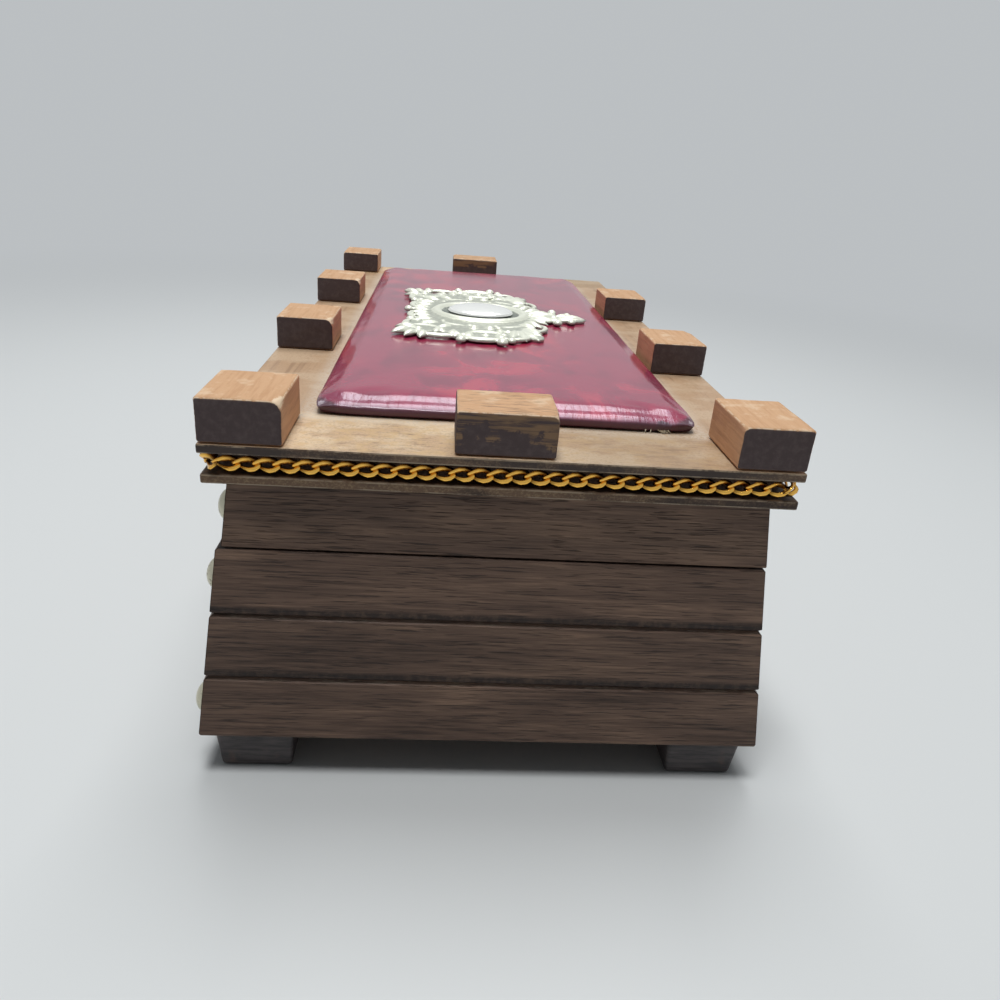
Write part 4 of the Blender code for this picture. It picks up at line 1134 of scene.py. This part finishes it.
def cast_metal():
    """Returns pale cast metal, darkened by toning and painted shade in its hollows and near black
    in the sunk ring round the boss.
    """
    material, place = start_finish("pale_casting", 0.36, CAST_METALLIC)
    parts = split(place)
    worn = blotches(place, 700, 4.0)
    # Toning and painted shade: the low parts are darker than the raised ones.
    height = fade(parts["Z"], MOUNT_LOW.z + HOLLOW_TOP * MILLIMETRE,
                  MOUNT_LOW.z + BRIGHT_FOOT * MILLIMETRE)
    bright = plus(height, times(sums("SUBTRACT", worn, 0.5), 0.8))
    bright = fade(bright, 0.10, 0.70)
    across, along = (sums("DIVIDE", sums("SUBTRACT", parts[key], middle), half_size * MILLIMETRE)
                     for key, middle, half_size in zip("XY", BOSS_MIDDLE, RING))
    tree = material.node_tree
    out = add_step(tree, "CombineXYZ", {0: across, 1: along}).outputs[0]
    out = add_step(tree, "VectorMath", {0: out}, operation="LENGTH").outputs["Value"]
    # Toning and painted shade: near black in the sunk ring round the boss.
    hollow = tint(fade(out, 0.90, 1.0), CAST_DARK, CAST_TONE_AND_SHADE)
    return finish(material, tint(bright, hollow, CAST_PALE), worn, CAST_RELIEF)


def polish_boss():
    """Returns the bright silvered finish of the boss, with faint rubbing marks."""
    material, place = start_finish("polished_boss", 0.20, CAST_METALLIC)
    shader_inputs(material)["Base Color"].default_value = (*BOSS_SILVER, 1)
    vary_gloss(material, blotches(place, (300, 900, 300), 3.0), 0.16, 0.30)
    return material


def scroll_line(across, along, heading, half_length, bend, end_bend):
    """Returns the points of a scroll that curls tighter to both ends; bends are in degrees a mm."""
    halves = []
    for way in (1, -1):
        place = Vector((across, along))
        angle = radians(heading)
        points = [place.copy()]
        for step in range(SCROLL_STEPS):
            share = (step + 0.5) / SCROLL_STEPS
            turn = radians(bend + (end_bend - bend) * share ** 2)
            angle += way * turn * half_length / SCROLL_STEPS
            place += way * Vector((cos(angle), sin(angle))) * half_length / SCROLL_STEPS
            points.append(place.copy())
        halves.append(points)
    return halves[1][:0:-1] + halves[0]


def cast_elements():
    """Returns the raised elements of the mount's half, lying on its plate."""
    pieces = []
    for across, along, heading, half_length, bend, end_bend, width in SCROLLS:
        points = scroll_line(across, along, heading, half_length, bend, end_bend)
        last = len(points) - 1
        widths = [width * (0.75 + 0.5 * sin(pi * i / last)) for i in range(last + 1)]
        pieces.append(draw_strand("scroll", points, widths))
        for end in (points[0], points[-1]):
            pieces.append(cast_bead(end.x, end.y, width * 0.62))
    for across, along, heading, length, width in LEAVES:
        way = Vector((cos(radians(heading)), sin(radians(heading))))
        steps = range(LEAF_STEPS + 1)
        points = [Vector((across, along)) + way * length * i / LEAF_STEPS for i in steps]
        widths = [width * sin(pi * (0.12 + 0.86 * i / LEAF_STEPS)) for i in steps]
        pieces.append(draw_strand("leaf", points, widths))
    for across, along, radius in BEADS:
        pieces.append(cast_bead(across, along, radius))
    return pieces


def cast_bead(across, along, radius):
    """Returns one bead."""
    bpy.ops.mesh.primitive_uv_sphere_add(segments=16, ring_count=8, radius=radius,
                                         location=(across, along, 0))
    return bpy.context.object


def cast_plate():
    """Returns the plate under the elements, from its smooth outline."""
    half = [Vector(point) for point in PLATE_POINTS]
    outline = half + [Vector((-point.x, point.y)) for point in reversed(half[1:-1])]
    curve = bpy.data.curves.new("mount_plate", "CURVE")
    curve.dimensions = "2D"
    curve.fill_mode = "BOTH"
    curve.extrude = PLATE_HEIGHT / 2
    line = curve.splines.new("BEZIER")
    line.bezier_points.add(len(outline) - 1)
    for point, place in zip(line.bezier_points, outline):
        point.co = (*place, 0)
        point.handle_left_type = "AUTO"
        point.handle_right_type = "AUTO"
    line.use_cyclic_u = True
    plate = add_object("mount_plate", curve)
    plate.location.z = PLATE_HEIGHT / 2
    return plate


def cast_ring():
    """Returns the raised band round the boss, which sits a little towards the mount's foot."""
    half_across, half_along, half_band = RING
    bpy.ops.mesh.primitive_torus_add(major_segments=64, minor_segments=12, major_radius=1,
                                     minor_radius=half_band / half_across)
    ring = bpy.context.object
    ring.scale = (half_across, half_along, half_across)
    ring.location.y = (BOSS_MIDDLE.y - MOUNT_MIDDLE.y) / MILLIMETRE
    return ring


def cast_mount():
    """Casts the plate and its relief in one piece, and sets it on the pad."""
    pick()
    relief = join_pieces(cast_elements(), "mount_relief")
    shape(relief, "MIRROR", use_mirror_merge=False)
    relief = join_pieces([relief, cast_ring()], "mount_relief")
    sunk = PLATE_HEIGHT * SUNK_SHARE
    rise = RELIEF_HEIGHT - sunk
    tallest = max(vert.co.z for vert in relief.data.vertices)
    for vert in relief.data.vertices:
        vert.co.z = sunk + vert.co.z * (rise / tallest if vert.co.z > 0 else UNDERSIDE_SHARE)
    mount = join_pieces([relief, cast_plate()], "cast_mount")
    mount.data.transform(TO_METRES)
    pick(mount)
    shape(mount, "REMESH", mode="VOXEL", voxel_size=CAST_GRAIN, use_smooth_shade=True)
    shape(mount, "SMOOTH", factor=0.5, iterations=2)
    mount.data.transform(Matrix.Translation((MOUNT_MIDDLE.x, MOUNT_MIDDLE.y, MOUNT_LOW.z)))
    coat(mount, cast_metal())
    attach(mount, "lid")
    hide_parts("ornament_mount")
    return mount


CAST_MOUNT = cast_mount()
refinish("ornament_boss", polish_boss())
for end in ("left", "right"):
    refinish(f"ornament_pin_{end}", CAST_MOUNT.active_material)
